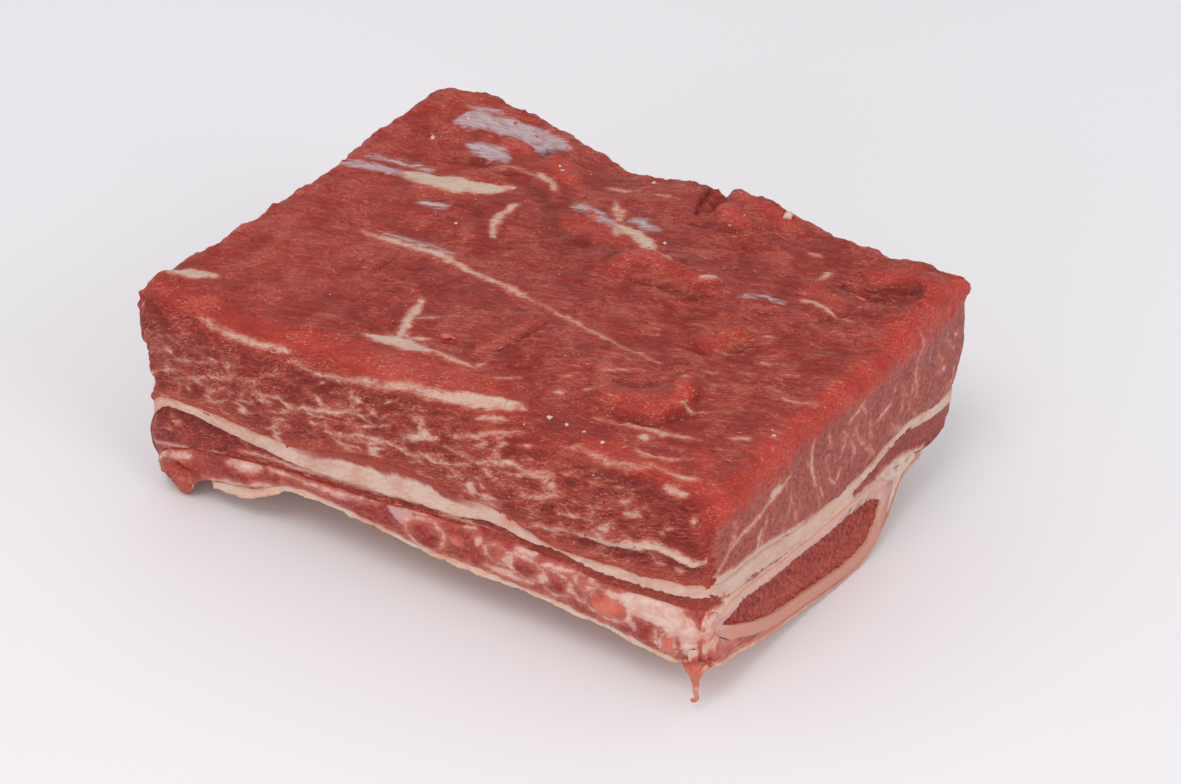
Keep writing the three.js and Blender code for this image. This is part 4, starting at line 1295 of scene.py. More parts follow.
LEDGES = (
    Ledge(1.25, 5.0, FLAP_TIP),
    Ledge(0.9, 3.0, BAND_EDGE),
    Ledge(0.9, 4.0, LEDGE_SEAM),
    Ledge(
        1.1,
        2.6,
        ((24.0, -28.6), (31.0, -27.4), (35.6, -26.0), (38.4, -21.6), (37.6, -17.4), (34.8, -15.2)),
    ),
    Ledge(0.55, 3.0, ((-41.0, 22.2), (-34.0, 24.2), (-26.0, 24.6))),
    Ledge(0.9, 3.0, ((27.0, -4.4), (30.6, -3.0), (31.9, 0.2), (32.3, 3.4), (34.6, 5.4))),
    Ledge(0.6, 2.6, ((3.4, 7.2), (9.0, 7.8), (15.0, 8.2), (20.4, 8.4), (22.0, 11.0))),
    Ledge(0.8, 3.6, ((3.2, 39.4), (4.7, 33.4), (7.0, 29.0)), 1),
    Ledge(0.3, 2.6, ((-36.0, -3.9), (-21.3, -2.7), (-11.8, -4.5), (1.2, -6.9), (12.0, -9.4)), 1),
    Ledge(0.35, 3.0, ((6.7, -11.5), (6.2, -17.0), (5.4, -22.0)), -1),
    Ledge(0.3, 3.0, ((-27.4, -5.6), (-27.0, -14.8)), -1),
    Ledge(0.35, 3.5, ((-34.0, 21.0), (-26.0, 22.6), (-18.0, 19.0), (-10.0, 17.5)), -1),
    Ledge(0.4, 3.0, ((12.0, 29.0), (20.0, 29.6), (28.0, 28.0)), 1),
    Ledge(0.35, 3.0, ((-2.0, 1.0), (10.0, 2.4), (22.0, 3.0)), 1),
    Ledge(0.3, 4.0, ((-50.0, 2.0), (-38.0, 4.6), (-24.0, 6.0)), 1),
    Ledge(0.3, 3.0, ((40.0, 8.0), (48.0, 11.0), (54.0, 13.0)), 1),
)
# Points are [across the bone, height] on the cut end.
END_VEINS = (
    Stroke(0.42, ((-10.4, 33.4), (-11.5, 29.3), (-10.4, 25.4))),
    Stroke(0.36, ((4.4, 32.9), (1.9, 31.4), (0.3, 30.9))),
    Stroke(0.5, ((13.1, 28.0), (11.1, 27.2), (9.2, 26.4))),
    Stroke(0.65, ((33.4, 29.4), (33.9, 30.0))),
    Stroke(0.75, ((29.6, 25.2), (29.9, 25.9))),
    Stroke(0.36, ((13.7, 30.1),)),
    Stroke(0.2, ((21.5, 37.1), (22.1, 34.3), (20.0, 29.6), (21.5, 24.5))),
    Stroke(0.3, ((3.3, 23.4), (1.9, 25.9))),
    Stroke(0.8, ((-20.6, 31.3), (-24.6, 31.2))),
    Stroke(0.32, ((-6.3, 24.3), (-4.1, 22.1), (-1.3, 23.5))),
    Stroke(0.42, ((-26.7, 26.8), (-27.9, 23.9))),
    Stroke(
        0.42,
        (
            (-39.6, 23.8), (-38.2, 24.6), (-34.4, 27.7), (-31.3, 29.1),
            (-28.2, 29.6), (-22.9, 30.8), (-17.4, 31.7),
        ),
    ),
)


def seeded_flecks(
    seed: int, count: int, area: tuple[float, float, float, float], lean: float, sizes: Sequence[float]
) -> list[Stroke]:
    """Short tapered flecks of fat in wavy, broken rows.

    Args:
        seed: number that fixes their places.
        count: how many rows.
        area: lowest and highest first coordinate, then second.
        lean: slope of the fibres that they follow.
        sizes: least and greatest length, then least and greatest half width.
    """
    rng = np.random.default_rng(seed)
    flecks = []
    for _ in range(count):
        a, b = rng.uniform(*area[:2]), rng.uniform(*area[2:])
        for _ in range(rng.integers(2, 6)):
            length = rng.uniform(sizes[0], sizes[1])
            slope = lean + rng.normal(0, 0.07)
            bow = rng.normal(0, 0.12)
            middle = (a + length / 2, b + length / 2 * slope + bow)
            if area[2] < b < area[3]:
                half = rng.uniform(sizes[2], sizes[3])
                flecks.append(Stroke(half, ((a, b), middle, (a + length, b + length * slope))))
            a += rng.normal(0.6, 1.4)
            b -= rng.uniform(0.7, 1.9)
    return flecks


def spread_veins(seed: int, count: int) -> list[Stroke]:
    """Fine forked veins over the cut end, mostly upright."""
    rng = np.random.default_rng(seed)
    veins = []
    for _ in range(count):
        y, z = rng.uniform(-37, 38), rng.uniform(21.5, 33)
        lean = rng.normal(0.25, 0.45)
        long = rng.uniform(1.2, 4.2)
        half = rng.uniform(0.05, 0.2)
        bend = rng.normal(0, 0.35)
        middle = (y + lean * long / 2 + bend, z - long / 2)
        veins.append(Stroke(half, ((y, z), middle, (y + lean * long, z - long))))
        if rng.uniform() < 0.5:
            tip = (middle[0] + rng.normal(0, 1.2), middle[1] - rng.uniform(0.6, 1.6))
            veins.append(Stroke(half * 0.8, (middle, tip)))
    return veins


# ------------------------------------------------------------------ the layers
def turned_to(normals: Array, axis: int, sign: int, low: float = 0.45, high: float = 0.8) -> Array:
    """1 where the surface faces along an axis, 0 where it faces away."""
    return smooth(normals[:, axis] * sign, low, high)


@dataclass
class Layer:
    """One layer of the rib: a dense skin with relief, values for its finish, and the node it stands for."""

    name: str = ""
    node: str = ""
    slot: str = ""
    seed: int = 1
    block: Block = BLOCK

    def build(self) -> Skin:
        """The layer's skin in the plain block."""
        raise NotImplementedError

    def relief(self, p: Array, n: Array) -> Array:
        """How far each point moves out along its normal, in millimetres."""
        raise NotImplementedError

    def values(self, p: Array, n: Array) -> dict[str, Array]:
        """Values at the points for the finish."""
        raise NotImplementedError

    def finish(self) -> bpy.types.Material:
        """The layer's material."""
        raise NotImplementedError

    def dress(self) -> bpy.types.Object:
        """Makes the finished piece and sets it in place of its node."""
        skin = self.build()
        plain = skin.points
        bent = self.block.carve(plain)
        normals = skin.normals(bent)
        moved = bent + normals * self.relief(plain, normals)[:, None]
        moved[:, 2] = np.maximum(moved[:, 2], 0.0)
        thing = skin.object(self.name, moved, self.values(plain, normals))
        thing.data.materials.append(self.finish())
        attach(thing, "root")
        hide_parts(self.node)
        return thing


def seam_wave(x: Array, y: Array) -> Array:
    """How the upper edge of the fat seam wanders up and down."""
    return 0.28 * Noise(41)(np.stack([x / 3.6, y / 3.6, np.zeros_like(x)], -1))


def thick_seam(p: Array) -> Array:
    """1 where the fat seam is thickest on the long side, and flesh covers its upper edge."""
    return smooth(p[:, 0], -26, -14) * (1 - smooth(p[:, 0], 5, 15)) * (1 - smooth(p[:, 1], Y0 + 1, Y0 + 6))


def seam_fray(x: Array, y: Array) -> Array:
    """How the lower edge of the fat seam wanders, with fine crumbling."""
    p = np.stack([x, y, np.zeros_like(x)], -1)
    near = smooth(x, 16, 30) * (1 - smooth(y, -38, -31))
    return 0.22 * Noise(42)(p / 2.3) + (0.2 + 0.2 * near) * Noise(43)(p / 0.8) + 1.0 * near


@dataclass
class MeatTop(Layer):
    """The thick upper muscle: torn, fibrous top, marbled long side and clean cross cut."""

    name: str = "meat_top"
    node: str = "upper_muscle"
    slot: str = "muscle"
    step: float = 0.43
    wall_rows: int = 34

    def lines(self, low: float, high: float, round_low: float, round_high: float) -> Array:
        """Grid lines that step evenly round the rounded edges too."""

        def arc(radius: float) -> Array:
            count = max(4, round(radius * math.pi / 2 / self.step))
            return radius * (1 - np.cos(np.linspace(0, math.pi / 2, count, endpoint=False)))

        flat = high - low - round_low - round_high
        # A soft patch of brighter flesh, partly painted light, or of painted shade; it may also stand out or
        # be sunk.
        middle = np.linspace(low + round_low, high - round_high, round(flat / self.step) + 1)
        return np.concatenate([low + arc(round_low), middle, (high - arc(round_high))[::-1]])

    def build(self) -> Skin:
        """A dense top grid, dense walls and a plain sole."""
        block = self.block
        xs = self.lines(X0, X1, block.round_far_end, block.round_end)
        ys = self.lines(Y0, Y1, block.round_front, block.round_back)
        x, y = np.meshgrid(xs, ys, indexing="ij")
        skin = Skin()
        top = skin.add(np.stack([x, y, block.rounded_top(x, y)], -1))
        skin.grid(top)
        loop = border(top)
        edge = skin.points[loop]
        low = block.seam_top(edge[:, 0], edge[:, 1]) + seam_wave(edge[:, 0], edge[:, 1]) - 0.12
        above = loop
        for share in np.linspace(0, 1, self.wall_rows + 1)[1:]:
            below = skin.add(np.stack([edge[:, 0], edge[:, 1], mix(edge[:, 2], low, share)], -1))
            skin.wall(above, below)
            above = below
        inset = 1.5
        along, over = np.linspace(X0 + inset, X1 - inset, 26), np.linspace(Y0 + inset, Y1 - inset, 20)
        sx, sy = np.meshgrid(along, over, indexing="ij")
        sole = skin.add(np.stack([sx, sy, block.seam_top(sx, sy) - 0.12], -1))
        skin.grid(sole, True)
        skin.stitch(above, border(sole))
        return skin

    @staticmethod
    def outer(n: Array) -> Array:
        """1 on the top, the front edge and the long side, 0 on the cut ends and the back."""
        facing = np.maximum(n[:, 2], -n[:, 1])
        return smooth(facing - np.maximum(np.abs(n[:, 0]), n[:, 1]), -0.25, 0.15)

    def relief(self, p: Array, n: Array) -> Array:
        """Lumps, fibre bundles, torn ledges and slits."""
        rough, fibre, fine = Noise(self.seed), Noise(self.seed + 1), Noise(self.seed + 2)
        side = np.maximum(turned_to(n, 1, -1), turned_to(n, 1, 1))
        end = np.maximum(turned_to(n, 0, 1), turned_to(n, 0, -1))
        top = turned_to(n, 2, 1, 0.35, 0.75)
        out = 0.3 * rough(p / 9.0) + 0.16 * rough(p / 3.7 + 9)
        strands = np.zeros(len(p))
        for grain, share in ((TOP_GRAIN, 1 - side), (SIDE_GRAIN, side)):
            bundle = fibre(grain.cells(p, 13.0, 1.9)) * 0.2 + fine(grain.cells(p, 6.5, 0.85)) * 0.13
            shelf = fibre(grain.cells(p, 21.0, 4.6) + 5) * 3.0
            torn = (shelf - np.floor(shelf)) ** 3
            strands = strands + share * (bundle - torn * 0.28 * smooth(rough(p / 13.0 + 3), -0.3, 0.4))
        out = out + strands * (1 - end)
        out = out + end * (0.1 * fine(p / 1.25) + 0.05 * fine(p / 0.6 + 4))
        s = self.block.unrolled(p)
        open_face = self.outer(n)
        x = p[:, 0] + 0.55 * fibre(p / 1.7 + 7) + 0.5 * fibre(p / 4.0 + 3)
        s = s + 0.5 * rough(p / 2.2 + 31) + 0.35 * fine(p / 1.0 + 8)
        for ledge in LEDGES:
            out = out + open_face * ledge.rise(x, s)
        for spot in (*GLOWING, *PAINTED_SHADE_SPOTS):
            if spot.out:
                wide = 0.5 if spot.out < 0 else 0.9
                out = out + open_face * spot.out * smooth(spot.stroke.depth(x, s), -wide, wide)
        shelves = seeded_flecks(17, 46, (-54, 52, -53, -41), 0.28, (3.0, 9.0, 0.2, 0.3))
        out = out + open_face * np.maximum(lips(x, s, SIDE_VEINS, 0.42, 1.3), lips(x, s, shelves, 0.3, 1.1))
        edge, across_it = SIDE_FLAKES.parts(x, s)
        flaked = open_face * smooth(FLAKED_BELOW(x) - s, 0.0, 1.5)
        out = out + flaked * (0.26 * smooth(-across_it, -0.5, 0.5) * smooth(edge, 0.0, 0.4) - 0.1)
        edge, across_it = TOP_FLAKES.parts(x, s)
        flake = 0.14 * smooth(-across_it, -0.5, 0.5) * smooth(edge, 0.0, 0.5) - 0.05
        out = out + (1 - flaked) * top * flake
        tears = seeded_flecks(19, 60, (-50, 52, -28, 38), 0.34, (3.0, 10.0, 0.2, 0.3))
        out = out + top * lips(x, s, tears, 0.26, 1.4)
        skins = smooth(deepest(x, s, SILVER_SKIN + CREAM_FAT), -0.3, 0.6) * open_face
        out = mix(out, 0.5 * out + 0.18, skins)
        out = out + 0.16 * smooth(deepest(x, s, TOP_FAT + EDGE_FAT + SIDE_VEINS), -0.1, 0.4) * open_face
        rim = smooth(p[:, 0], X0 + 5, X0 + 0.5) + smooth(p[:, 1], Y1 - 6, Y1 - 1)
        ragged = np.clip(rim, 0, 1) * smooth(p[:, 2], 29, 35)
        tufts = smooth(fine(p / 1.9 + 5) + 0.7 * rough(p / 7.0), 0.5, 1.0)
        out = out + ragged * (0.6 * tufts + 0.3 * rough(p / 1.3) + 0.75 * rough(p / 5.5 + 6))
        left = smooth(p[:, 0], X0 + 3, X0 + 0.5) * smooth(p[:, 1], Y0 + 4, Y0 + 1) * (1 - top)
        out = out + left * (0.8 * rough(p / 2.8 + 3) + 0.4 * fine(p / 1.2 + 7))
        out = out + 1.5 * hill(p[:, 0], p[:, 1], (54.8, 39.6), (1.3, 1.3)) * smooth(p[:, 2], 32.5, 35.5)
        crest = smooth(p[:, 0], X1 - 3.4, X1 - 0.6) * smooth(p[:, 2], 31.5, 34)
        out = out + crest * (0.3 + 0.22 * rough(p / 1.6 + 11) + 0.2 * fine(p / 0.8 + 4))
        over_seam = p[:, 2] - self.block.seam_top(p[:, 0], p[:, 1])
        out = out + 0.22 * (1 - top) * smooth(over_seam, 0.0, 2.0)
        grains = hill(p[:, 0], p[:, 1], (43, 25), (8, 6)) + hill(p[:, 0], p[:, 1], (13, 11.5), (7, 3.4))
        grains = grains + hill(p[:, 0], p[:, 1], (31, 3), (4, 4)) + hill(p[:, 0], p[:, 1], (52, 28), (4, 9))
        out = out + top * np.clip(grains, 0, 1) * (0.34 * fine(p / 0.85 + 21) + 0.4 * rough(p / 2.1 + 2))
        corner = np.exp(-((X1 - p[:, 0]) + (p[:, 1] - Y0)) / 1.6) * (1 - top)
        torn_corner = 0.3 + 0.45 * rough(p / np.array([2.0, 2.0, 1.3]) + 4) + 0.2 * fine(p / 0.8)
        return mix(out, torn_corner, np.clip(corner, 0, 1))

    def values(self, p: Array, n: Array) -> dict[str, Array]:
        """Where fat, silver skin, bright flesh, painted light, painted shade and the cross cut lie."""
        rough, fine = Noise(self.seed + 3), Noise(self.seed + 4)
        s = self.block.unrolled(p)
        x = p[:, 0] + 0.3 * fine(p / 1.4) + 0.35 * rough(p / 3.1)
        s = s + 0.3 * fine(p / 1.2 + 5) + 0.25 * rough(p / 2.7 + 8)
        side = np.maximum(turned_to(n, 1, -1, 0.5, 0.85), turned_to(n, 1, 1, 0.5, 0.85))
        end = np.maximum(turned_to(n, 0, 1, 0.5, 0.75), turned_to(n, 0, -1, 0.5, 0.75))
        ragged_corner = p[:, 1] + 1.2 * rough(p / np.array([3.0, 3.0, 1.3])) + 0.5 * fine(p / 0.8)
        end = end * smooth(ragged_corner, Y0 + 0.6, Y0 + 1.8)
        front = self.outer(n) > 0.4
        comb = 1.5 * fine(SIDE_GRAIN.cells(p, 7.0, 0.62) + 12)
        edge, _ = SIDE_FLAKES.parts(x + comb, s)
        patches = smooth(rough(p / 5.0 + 40) + 0.5 * fine(p / 1.9 + 3), -0.1, 0.8)
        wide = (0.34 - 0.12 * smooth(x, 8, 28)) * patches - 0.06
        flaked = smooth(FLAKED_BELOW(x) - s, 0.4, 1.6) * smooth(-x, -52, -44)
        net = mix(-1.2, np.minimum(2.3 * (wide - edge), 0.4), flaked)
        streaks = seeded_flecks(9, 30, (-50, 54, -30, 38), 0.34, (1.0, 3.4, 0.03, 0.12))
        streaks += seeded_flecks(12, 26, (14, 54, -24, 14), 0.34, (1.0, 3.2, 0.03, 0.12))
        open_fat = np.maximum(deepest(x + 0.6 * comb * side, s, (*SIDE_VEINS, *EDGE_FAT, *TOP_FAT)), net)
        open_fat = np.maximum(open_fat, deepest(x, s, streaks) - 0.24)
        cream = deepest(x, s, CREAM_FAT)
        silver = deepest(x, s, SILVER_SKIN)
        ey, ez = p[:, 1] + 0.3 * fine(p / 1.3 + 2), p[:, 2] + 0.3 * fine(p / 1.3 + 9)
        veins = deepest(ey, ez, (*END_VEINS, *spread_veins(21, 44)))
        over_seam = p[:, 2] - self.block.seam_top(p[:, 0], p[:, 1]) + 0.5 * rough(p / 3.0)
        wedge = 1.7 * smooth(-p[:, 1], 4, 26) * smooth(p[:, 1], Y0, Y0 + 2) - over_seam
        veins = np.maximum(veins, np.maximum(wedge, -1.0))
        back = turned_to(n, 1, 1, 0.5, 0.8)
        turned = np.full(len(p), OUTSIDE)
        at_back = p[:, 1] > Y1 - 3
        edge, _ = SIDE_FLAKES.parts(x[at_back], p[at_back, 2] - 60)
        turned[at_back] = np.minimum(1.9 * (wide[at_back] - 0.05 - edge), 0.34)
        faced = np.where(front, np.maximum(open_fat, cream), OUTSIDE)
        fat = np.where(end > 0.5, veins, np.where(back > 0.5, turned, faced))
        glow, painted_shade = np.zeros(len(p)), np.zeros(len(p))
        # Bright flesh, with painted light where the spots stand out as lips and ridges.
        for spot in GLOWING:
            glow = np.maximum(glow, spot.weight * smooth(spot.stroke.depth(x, s), -1.2, 1.0) * front)
        # Painted shade in slits, hollows and under torn ledges.
        for spot in PAINTED_SHADE_SPOTS:
            painted_shade = np.maximum(painted_shade, spot.weight * smooth(spot.stroke.depth(x, s), -0.6, 0.7) * front)
        level = p[:, 2] + 0.6 * rough(p / 1.7 + 3)
        # Painted highlight: the crest where the top meets the cut end is brighter red.
        crest = smooth(p[:, 0] + 1.4 * rough(p / 4.0) + 0.6 * fine(p / 1.2), X1 - 4.6, X1 - 0.4)
        crest = crest * smooth(level, 32.2, 34.0)
        glow = np.maximum(glow, 0.95 * crest)
        rim = smooth(p[:, 0], X0 + 2.4, X0 + 0.4) * smooth(level, 33.5, 35.5)
        rim = np.maximum(rim, smooth(p[:, 1], Y1 - 2.6, Y1 - 0.4) * smooth(level, 33.5, 35.5))
        glow = np.maximum(glow, rim * 0.5)
        glow = np.maximum(glow, 0.3 * smooth(-x, 12, 46) * (1 - side) * (1 - end))
        seamed = (1 - smooth(over_seam, 0.2, 3.4)) * side
        granular = hill(p[:, 0], p[:, 1], (42, 25), (7, 4)) + hill(p[:, 0], p[:, 1], (31, 5), (4, 2.5))
        marble = 0.26 + 0.15 * side * (1 - seamed) + granular * 0.5 + 0.2 * smooth(p[:, 0], 10, 40)
        return {
            "fat": fat,
            "creamy": smooth(cream - open_fat, -0.2, 0.4),
            "silver": np.where(front, silver, OUTSIDE),
            "glow": glow,
            "painted_shade": painted_shade * (1 - end),
            "side": side,
            "cut": end * (1 - smooth(level, 32.6, 34.2)),
            "seamed": seamed,
            "marble": np.clip(marble, 0, 1),
        }

    def finish(self) -> bpy.types.Material:
        """Muscle."""
        return MuscleFinish("muscle_finish").material()


def across(front: float = Y0, back: float = Y1) -> Place:
    """Places for a slab that runs the whole length of the block."""
    return lambda u, v: (mix(X0, X1, u), mix(front, back, v))


@dataclass
class SeamFat(Layer):
    """The band of firm fat between the two muscles."""

    name: str = "seam_fat_band"
    node: str = "fat_seam"
    slot: str = "seam_fat"

    def build(self) -> Skin:
        """A slab with a dense wall, a little taller than the gap that it fills."""
        skin = Skin()
        skin.slab(
            across(),
            lambda x, y: self.block.seam_top(x, y) + seam_wave(x, y) + 0.25,
            lambda x, y: self.block.seam_bottom(x, y) + seam_fray(x, y) + 0.1,
            counts=(262, 191),
            rows=14,
        )
        return skin

    def relief(self, p: Array, n: Array) -> Array:
        """Soft lumps and crumbly grain on the wall."""
        level = turned_to(np.abs(n), 2, 1)
        out = 0.18 * Noise(51)(p / 4.2) + 0.14 * Noise(52)(p / 1.3) + 0.1 * Noise(53)(p / 0.6)
        return (out + 0.12) * (1 - level)

    def values(self, p: Array, n: Array) -> dict[str, Array]:
        """Rosier edges, and warmer spots here and there."""
        high = self.block.seam_top(p[:, 0], p[:, 1])
        low = self.block.seam_bottom(p[:, 0], p[:, 1])
        share = (p[:, 2] - low) / (high - low)
        noise = Noise(54)(p / 2.4)
        spot = hill(p[:, 0], p[:, 2], (18.6, 21.2), (1.6, 1.0))
        spot = spot + 0.5 * hill(p[:, 0], p[:, 2], (-53, 15.5), (1.5, 2))
        rosy = smooth(share + 0.12 * noise, 0.82, 1.05) * 0.4
        fleshy = thick_seam(p) * smooth(share + 0.12 * noise + 0.05 * Noise(55)(p / 0.7), 0.72, 0.84)
        return {
            "side": np.ones(len(p)),
            "red": np.clip(0.35 * smooth(-share + 0.15 * noise, -0.12, 0.06) + rosy * 0.6 + fleshy, 0, 0.96),
            "glow": np.clip(spot * 0.6 + rosy * 0.5 - fleshy, 0, 1),
        }

    def finish(self) -> bpy.types.Material:
        """Beige-white fat."""
        return FatFinish("seam_fat_finish", PAINT.fat, PAINT.seam_pink).material()


@dataclass
class LowerMeat(Layer):
    """The thin dark muscle under the seam, which bulges at the far front corner."""

    name: str = "lower_meat"
    node: str = "lower_muscle"
    slot: str = "dark_muscle"
    inset: float = 0.5

    def build(self) -> Skin:
        """A slab with a dense wall."""
        skin = Skin()
        skin.slab(
            across(front=Y0 + self.inset, back=Y1 - self.inset),
            self.head,
            self.sole,
            counts=(262, 189),
            rows=22,
            sole=(56, 40),
        )
        return skin

    def head(self, x: Array, y: Array) -> Array:
        """The upper face, raised at the long side toward the near corner."""
        return self.block.seam_bottom(x, y) + 0.6 + 1.2 * smooth(x, 16, 30) * (1 - smooth(y, -38, -31))

    def sole(self, x: Array, y: Array) -> Array:
        """The lower face, sunk a little into the bone so that no gap is left round the bone's edges."""
        return self.block.bone_level(x, y) - 0.05 - 1.2 * smooth(y, -38, -36) * (1 - smooth(y, 22, 26))

    def relief(self, p: Array, n: Array) -> Array:
        """Fibre bundles along the bone, with a full bulge by the far corner."""
        level = turned_to(np.abs(n), 2, 1)
        low = self.block.bone_level(p[:, 0], p[:, 1])
        high = self.block.seam_bottom(p[:, 0], p[:, 1])
        share = np.clip((p[:, 2] - low) / (high - low), 0, 1)
        bulge = np.sin(math.pi * share) * 0.9 * smooth(-p[:, 0], 28, 45)
        cells = SIDE_GRAIN.cells(p, 9.0, 1.0)
        out = 0.14 * Noise(61)(p / 4.0) + 0.12 * Noise(62)(cells) + 0.07 * Noise(63)(p / 0.8) + bulge
        return out * (1 - level) + 0.1 * level * Noise(62)(p / 2)

    def values(self, p: Array, n: Array) -> dict[str, Array]:
        """Fat over the bone at the cut end, the pale line in the dark band, and painted shade under the seam.
        """
        block = self.block
        low = block.bone_level(p[:, 0], p[:, 1])
        high = block.seam_bottom(p[:, 0], p[:, 1])
        rough = Noise(64)(p / 1.6)
        end = turned_to(n, 0, 1, 0.5, 0.8)
        front = turned_to(n, 1, -1, 0.4, 0.7)
        y, z = p[:, 1] + 0.3 * rough, p[:, 2] + 0.2 * rough
        wedge = np.where(y < 2, 1.5, -2.0) + 0.5 * rough - 4.0 * smooth(-y - 0.6 * rough, 34.5, 37.5)
        line = Stroke(0.28, ((-36.0, 19.2), (-29.9, 18.4), (-25.3, 18.1), (-18.0, 17.4)), 0.5).depth(y, z)
        base = 0.8 - (z - low)
        end_fat = np.maximum(np.where(line > -0.3, -line, wedge), np.where(y < 30, base, -2.0))
        lines = (
            Stroke(
                0.34,
                ((-36.0, 13.4), (-32.4, 14.0), (-23.9, 14.7), (-16.7, 15.8), (-8.5, 16.6), (-2.6, 17.3)),
            ),
            Stroke(0.5, ((-54.3, 8.6), (-49.5, 9.2), (-45.5, 10.0))),
            Stroke(0.3, ((5.0, 17.2), (14.0, 17.6), (22.0, 17.2))),
        )
        flecks = seeded_flecks(66, 12, (-54, 50, 9, 19), 0.12, (0.6, 2.2, 0.08, 0.22))
        pale = deepest(p[:, 0] + 0.4 * rough, z, (*lines, *flecks))
        under = 0.35 - (z - low)
        front_fat = np.maximum(pale, np.where(p[:, 0] < -30, under, under - 0.25))
        share = (p[:, 2] - low) / np.maximum(high - low, 0.5)
        # Painted shade on the upper part of the long side, under the overhanging seam.
        shade = smooth(share, 0.55, 0.95) * front
        return {
            "fat": np.where(end > 0.5, end_fat, np.where(front > 0.5, front_fat, -2.0)),
            "creamy": end * smooth(-p[:, 1], -6, 2),
            "silver": np.full(len(p), OUTSIDE),
            "glow": 0.3 * smooth(-p[:, 0], 48, 54) + 0.35 * end * smooth(y, 6, 12),
            "painted_shade": shade * 0.3,
            "side": np.ones(len(p)),
            "cut": end * 0.35,
            "seamed": 0.7 * smooth(p[:, 0], 10, 34) * front,
            "marble": np.full(len(p), 0.35) + 0.4 * end,
        }

    def finish(self) -> bpy.types.Material:
        """Darker muscle."""
        return MuscleFinish(
            "dark_muscle_finish", PAINT.lower_dark, PAINT.lower_red, PAINT.lower_light, PAINT.wedge
        ).material()


@dataclass
class RibBone:
    """The rib's section at a length along the bone: a flat almond, with room for its core."""

    block: Block = BLOCK
    top: float = 1.9
    bottom: float = 2.4
    front: float = 2.4
    back: float = 4.6

    def heights(self, x: Array, q: Array) -> tuple[Array, Array, Array]:
        """Place across, upper and lower height at share q of the bone's width from its front edge."""
        y = mix(BONE_FRONT(x), BONE_BACK(x), q)
        tissue = UNDER_TISSUE(x) * np.maximum(1 - q / 0.33, 0) ** 1.3
        over = self.block.bone_level(x, y) - 1.2 * smooth(q, 0.84, 1) ** 2
        under = self.block.film_top(x, y) + self.block.gap + tissue + 1.4 * smooth(q, 0.9, 1) ** 2
        return y, over, under

    def span(self, x: Array, t: Array, core: bool) -> tuple[Array, Array, Array]:
        """Place across, highest and lowest point at share t along the bone's, or its core's, upper half."""
        width = BONE_BACK(x) - BONE_FRONT(x)
        inside = core * 1.0
        q = mix(inside * self.front / width, 1 - inside * self.back / width, t)
        y, over, under = self.heights(x, q)
        over, under = over - inside * self.top, under + inside * self.bottom
        rounded = np.minimum(1, 1.9 * np.sqrt(np.sin(math.pi * t)))
        half = np.maximum((over - under) / 2, 0.5 * inside) * rounded
        return y, (over + under) / 2 + half, (over + under) / 2 - half

    def teeth(self, y: Array) -> Array:
        """How far the core bites up into the bone, in round teeth about a millimetre apart."""
        p = np.stack([y, np.zeros_like(y), np.zeros_like(y)], -1)
        bumps = np.abs(Noise(71)(p / 0.9)) * 2.4
        return bumps * (0.6 + 0.5 * Noise(72)(p / 4.0)) * smooth(y, -36, -28)


